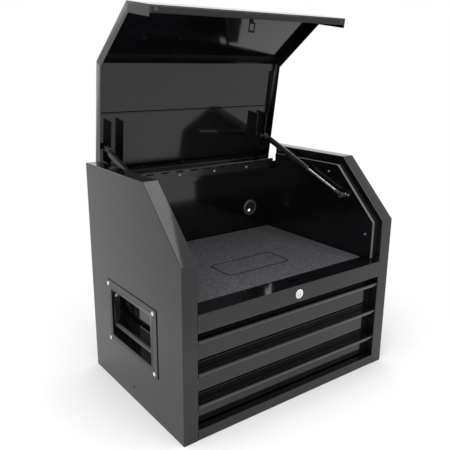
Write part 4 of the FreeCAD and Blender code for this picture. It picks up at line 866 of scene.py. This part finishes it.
class StrutsOperator(Operator):
    """Gas struts: crimped tubes, bright rods, ball sockets and studs"""

    bl_idname = "tool_chest.struts"
    bl_label = "Struts"

    def execute(self, context):
        size = context.scene.chest_struts
        for side, sign in SIDES:
            foot = np.array(JOINTS[f"{side}_strut_swing"]["pos_m"])
            line = np.array(JOINTS[f"{side}_strut_stroke"]["axis"])
            reach = ((node_points(f"{side}_strut_tube_socket") - foot) @ line).max()
            reach -= size.socket_radius
            self.tube(side, foot, line, reach, size)
            self.rod(side, foot, line, reach, size)
            self.socket(sign, f"{side}_strut_rod_socket", foot, line, size)
            self.socket(sign, f"{side}_strut_tube_socket", foot + line * reach, -line, size)
        smooth_copies("strut_wall_studs", "strut_lid_studs")
        return {"FINISHED"}

    @staticmethod
    def tube(side, foot, line, reach, size):
        """Tube with its rod end rolled in, its other end crowned and a bore for the rod."""
        top, r = reach - size.neck_length, size.tube_radius
        low, bore, end = top - size.tube_length, size.rod_radius + ROD_GAP, top - 8 * MM
        corners = [(low, bore), *((low + along, r - cut) for along, cut in TUBE_CRIMP),
                   (top - 3 * MM, r), (top, r - 2.4 * MM), (top, 0.0)]
        surface = Surface().turned(rounded(corners, 0.6 * MM, 4), foot, line)
        surface.turned([(low, bore), (end, bore), (end, 0.0)], foot, line)
        stand_for(surface.build(f"{side}_strut_cylinder", FINISHES["black_steel"]),
                  f"{side}_strut_tube")

    @staticmethod
    def rod(side, foot, line, reach, size):
        """Plain ground rod, from its socket's neck to just inside the tube."""
        stop = reach - size.neck_length - size.tube_length + ROD_INSIDE
        start = size.neck_length - 1 * MM
        profile = [(start, 0.0), (start, size.rod_radius), (stop, size.rod_radius), (stop, 0.0)]
        surface = Surface().turned(profile, foot, line)
        stand_for(surface.build(f"{side}_strut_piston_rod", FINISHES["rod_steel"]),
                  f"{side}_strut_rod")

    @staticmethod
    def socket(sign, node, centre, line, size):
        """Cup across the strut with rounded rims, and a tapered neck with two ribs."""
        r, half, bore, wall = size.socket_radius, size.socket_half, 5.3 * MM, 1.6 * MM
        cup = rounded([(-half, 0.0), (-half, r), (half, r), (half, bore), (-half + wall, bore),
                       (-half + wall, 0.0)], (1.6 * MM, 1.2 * MM, 0.5 * MM, 0.5 * MM))
        surface = Surface().turned(cup, centre, (sign, 0, 0))
        neck, end = size.neck_radius, size.neck_length
        ring = [(along * MM, neck * part) for along, part in NECK_RIBS] + [(end, neck), (end, 0.0)]
        profile = np.concatenate([[(ring[0][0], 0.0)], rounded(ring, 0.4 * MM, 3)])
        surface.turned(profile, centre, line)
        stand_for(surface.build(node + "_moulded", FINISHES["black_plastic"]), node)


class LockOperator(Operator):
    """Cam lock: domed chrome flange, barrel, plug, nut and cam"""

    bl_idname = "tool_chest.lock"
    bl_label = "Lock"

    def execute(self, context):
        """The flange's section, in (depth, radius), domes from a lip at the plug's bore to its
        rim; the barrel runs back from behind it."""
        place, depth, radius = round_piece("lock_housing")
        bore, barrel, lip, back = 7.1 * MM, 9.5 * MM, 0.8 * MM, 2.5 * MM
        corners = [(lip, bore), (0.3 * MM, 7.7 * MM), (0.0, 8.6 * MM), (0.5 * MM, 10.4 * MM),
                   (1.7 * MM, radius), (back, radius), (back, barrel), (depth, barrel),
                   (depth, bore), (lip, bore)]
        radii = np.array([0.3, 0.8, 0.6, 0.6, 0.3, 0.2, 0.5, 0.3]) * MM
        surface = Surface().turned(rounded(corners, radii, 4), place, BACKWARDS, ROUND_FINE)
        stand_for(surface.build("lock_housing_domed", FINISHES["chrome"]), "lock_housing")
        smooth_copies("lock_plug", "lock_nut", "lock_cam")
        return {"FINISHED"}


class HandlesOperator(Operator):
    """Pressed handle trays and the bails that fold into them"""

    bl_idname = "tool_chest.handles"
    bl_label = "Handles"

    def execute(self, context):
        smooth_copies("left_handle_plate", "left_handle_bail", "right_handle_plate",
                      "right_handle_bail", "handle_pivots")
        return {"FINISHED"}


class GrommetOperator(Operator):
    """Cable grommet with a rolled rim, and its turning cover"""

    bl_idname = "tool_chest.grommet"
    bl_label = "Grommet"

    def execute(self, context):
        """The rim is two quarter ellipses that fall from a crest, in to the well over the cover's
        seat and out to the flange's edge. Its section is in millimetres of (depth, radius)."""
        place, depth, _ = round_piece("grommet_ring")
        crest, well, bore, edge, sleeve = 20.5, 18.0, 14.5, 26.0, 21.0
        seat, under, well_drop, edge_drop = 3.6, 3.0, 0.9, 2.8
        turn = np.linspace(0, math.pi / 2, 9)
        fall, reach = 1 - np.cos(turn), np.sin(turn)
        inner = np.stack([well_drop * fall, crest - (crest - well) * reach], axis=1)
        outer = np.stack([edge_drop * fall, crest + (edge - crest) * reach], axis=1)
        back = [(under, edge), (under, sleeve), (depth / MM, sleeve), (depth / MM, bore), (seat, bore)]
        profile = np.concatenate([[(seat, bore), (seat, well)], inner[:0:-1], outer, back]) * MM
        ring = Surface().turned(profile, place, BACKWARDS, ROUND_FINE)
        # The rim takes the paler copy of black plastic, a painted highlight, and the cover the darker copy,
        # painted shade
        stand_for(ring.build("grommet_ring_rolled", FINISHES["rim_plastic_painted_highlight"]), "grommet_ring")
        smooth_copy("grommet_cover", FINISHES["cover_plastic_painted_shade"])
        return {"FINISHED"}


def cross_head(place, direction, radius, height, around=32, rings=12):
    """Grid of a domed head with a cross recess.

    At radius r and angle a the face is at height h * sqrt(1 - (0.88 r / R)^2), less a recess
    0.55 h deep that is whole within 0.066 R of the nearer of the two slots' lines, gone past
    0.176 R from it, whole within 0.38 R of the middle and gone past 0.62 R.
    """
    out = np.linspace(0, 1, rings)[:, None] ** 0.8
    angle = np.arange(around) * 2 * math.pi / around
    x, y = out * radius * np.cos(angle), out * radius * np.sin(angle)
    dome = height * np.sqrt(1 - (0.88 * out) ** 2) * np.ones_like(x)
    slot = np.clip(1.6 - np.minimum(np.abs(x), np.abs(y)) / (0.11 * radius), 0, 1)
    reach = np.clip(2.6 * (1 - out / 0.62), 0, 1)
    face = np.stack([x, y, dome - 0.55 * height * slot * reach], axis=-1)
    skirt = face[-1:] * [1.0, 1.0, 0.0]
    return np.concatenate([face, skirt, skirt * 0.0]) @ basis(direction).T + np.asarray(place)


class ScrewsOperator(Operator):
    """Cross-head screws of the handles, walls and hinge, and the small rivets"""

    bl_idname = "tool_chest.screws"
    bl_label = "Screws"

    def execute(self, context):
        self.heads("handle_screws", "chrome")
        self.heads("body_screws", "screw_steel")
        self.heads("lid_screws", "zinc_steel")
        smooth_copy("side_rivets")
        return {"FINISHED"}

    def heads(self, node, finish):
        surface = Surface()
        for low, high in spots(node):
            place, direction, (radius, height) = self.seat(node, low, high)
            surface.grid(cross_head(place, direction, radius, height), wrap_columns=True)
        stand_for(surface.build(node + "_heads", FINISHES[finish], sharp=40), node)

    @staticmethod
    def seat(node, low, high):
        """Seat, outward direction and size of a head, from its fastener's box."""
        middle, size = (low + high) / 2, high - low
        drop = PAN_HEAD[1]
        if node == "handle_screws":
            sign = np.sign(middle[0])
            outer = high[0] if sign > 0 else low[0]
            return (outer - sign * DOME_HEAD[1], *middle[1:]), (sign, 0, 0), DOME_HEAD
        if node == "body_screws" and abs(middle[0]) > WALL_SCREWS_FROM:
            sign = -np.sign(middle[0])
            inner = high[0] if sign > 0 else low[0]
            return (inner - sign * drop, *middle[1:]), (sign, 0, 0), PAN_HEAD
        if node == "body_screws":
            return (middle[0], low[1] + drop, middle[2]), (0, -1, 0), PAN_HEAD
        corner = node_points(node)
        near = corner[np.abs(corner[:, 0] - middle[0]) < size[0] / 2 + 1 * MM]
        reach = near @ LID_RISE
        flat = near - LID_RISE * reach[:, None]
        centre = (flat.max(0) + flat.min(0)) / 2
        return centre + LID_RISE * (reach.max() - drop - centre @ LID_RISE), LID_RISE, PAN_HEAD


class StageOperator(Operator):
    """Pale floor, soft light and the camera"""

    bl_idname = "tool_chest.stage"
    bl_label = "Stage"

    def execute(self, context):
        stage = context.scene.chest_stage
        self.floor(stage)
        self.room(stage)
        self.lamps()
        self.camera(stage)
        context.scene.view_settings.view_transform = "Standard"
        return {"FINISHED"}

    @staticmethod
    def floor(stage):
        """Pale floor that runs out to white away from the chest, in reflections as to the camera."""
        finish = Finish("stage_floor")
        finish.give("Base Color", (*stage.floor_colour, 1.0))
        finish.give("Roughness", 0.9)
        finish.give("Specular IOR Level", 0.1)
        finish.bump(finish.noise(30.0, 3.0), 0.03, 0.5 * MM)
        distance = finish.add("ShaderNodeVectorMath", operation="LENGTH")
        finish.join(finish.place, distance.inputs[0])
        fade = finish.add("ShaderNodeMapRange", {"From Min": stage.fade_start,
                                                 "From Max": stage.fade_end},
                          interpolation_type="SMOOTHSTEP")
        finish.join(distance.outputs["Value"], fade.inputs["Value"])
        seen = finish.add("ShaderNodeMath", operation="MULTIPLY")
        finish.join(fade.outputs["Result"], seen.inputs[0])
        finish.join(finish.looked_at(), seen.inputs[1])
        white = finish.add("ShaderNodeEmission", {"Strength": 1.0})
        finish.mix(seen.outputs[0], finish.shader.outputs["BSDF"], white.outputs["Emission"],
                   finish.tree.nodes["Material Output"].inputs["Surface"])
        y, x = np.array(np.meshgrid((-1, 1), (-1, 1), indexing="ij")) * stage.floor_half
        corners = np.stack([x, y, 0 * x], axis=-1)
        Surface().grid(corners).build("floor", finish.material)

    @staticmethod
    def room(stage):
        """Even light, and white where it is looked at."""
        world = bpy.data.worlds.new("room")
        bpy.context.scene.world = world
        world.use_nodes = True
        shading, nodes = Shading(world.node_tree), world.node_tree.nodes
        light = nodes["Background"]
        light.inputs["Color"].default_value = WHITE
        light.inputs["Strength"].default_value = stage.fill
        seen = shading.add("ShaderNodeBackground", {"Color": WHITE, "Strength": 1.0})
        shading.mix(shading.looked_at(), light.outputs["Background"], seen.outputs["Background"],
                    nodes["World Output"].inputs["Surface"])

    @staticmethod
    def lamps():
        """Large soft lamps: one overhead, one from the front left."""
        for name, place, aim, width, watts in LAMPS:
            light = bpy.data.lights.new(name, "AREA")
            light.size, light.energy = width, watts
            linked(name, light).matrix_world = placed(basis(np.subtract(place, aim)), place)

    @staticmethod
    def camera(stage):
        """Camera looking along (sin a cos e, cos a cos e, -sin e), rolled about that line."""
        a, e, roll = stage.azimuth, stage.elevation, stage.roll
        ahead = np.array([math.sin(a) * math.cos(e), math.cos(a) * math.cos(e), -math.sin(e)])
        right = np.cross(ahead, (0, 0, 1))
        right = right / np.linalg.norm(right)
        up = np.cross(right, ahead)
        turned_right = right * math.cos(roll) + up * math.sin(roll)
        turned_up = up * math.cos(roll) - right * math.sin(roll)
        data = bpy.data.cameras.new("camera")
        data.lens, data.clip_start, data.clip_end = stage.lens, 0.01, 50.0
        camera = bpy.context.scene.camera = linked("camera", data)
        columns = np.stack([turned_right, turned_up, -ahead], axis=1)
        camera.matrix_world = placed(columns, stage.camera_place)


class ChestPanel(Panel):
    """Sizes, colours and the steps that build the chest"""

    bl_idname = "VIEW3D_PT_tool_chest"
    bl_label = "Tool Chest"
    bl_space_type = "VIEW_3D"
    bl_region_type = "UI"
    bl_category = "Tool Chest"

    def draw(self, context):
        for prop, group in SETTINGS.items():
            box = self.layout.box()
            box.label(text=group.__doc__)
            for name in group.__annotations__:
                box.prop(getattr(context.scene, prop), name)
        for step in STEPS:
            self.layout.operator(step.bl_idname)


SETTINGS = {"chest_paint": PaintSettings, "chest_sheet": SheetSettings, "chest_foam": FoamSettings,
            "chest_struts": StrutSettings, "chest_stage": StageSettings}
STEPS = (
    FinishesOperator, ShellOperator, LedgesOperator, MatOperator, LidOperator, DrawersOperator,
    StrutsOperator, LockOperator, HandlesOperator, GrommetOperator, ScrewsOperator, StageOperator,
)


def register():
    for prop, group in SETTINGS.items():
        bpy.utils.register_class(group)
        setattr(bpy.types.Scene, prop, PointerProperty(type=group))
    for step in STEPS:
        bpy.utils.register_class(step)
    bpy.utils.register_class(ChestPanel)


def unregister():
    bpy.utils.unregister_class(ChestPanel)
    for step in reversed(STEPS):
        bpy.utils.unregister_class(step)
    for prop, group in reversed(SETTINGS.items()):
        delattr(bpy.types.Scene, prop)
        bpy.utils.unregister_class(group)


def main():
    """Registers the add-on and runs its steps in order."""
    register()
    for step in STEPS:
        group, name = step.bl_idname.split(".")
        getattr(getattr(bpy.ops, group), name)()


if __name__ == "__main__":
    main()
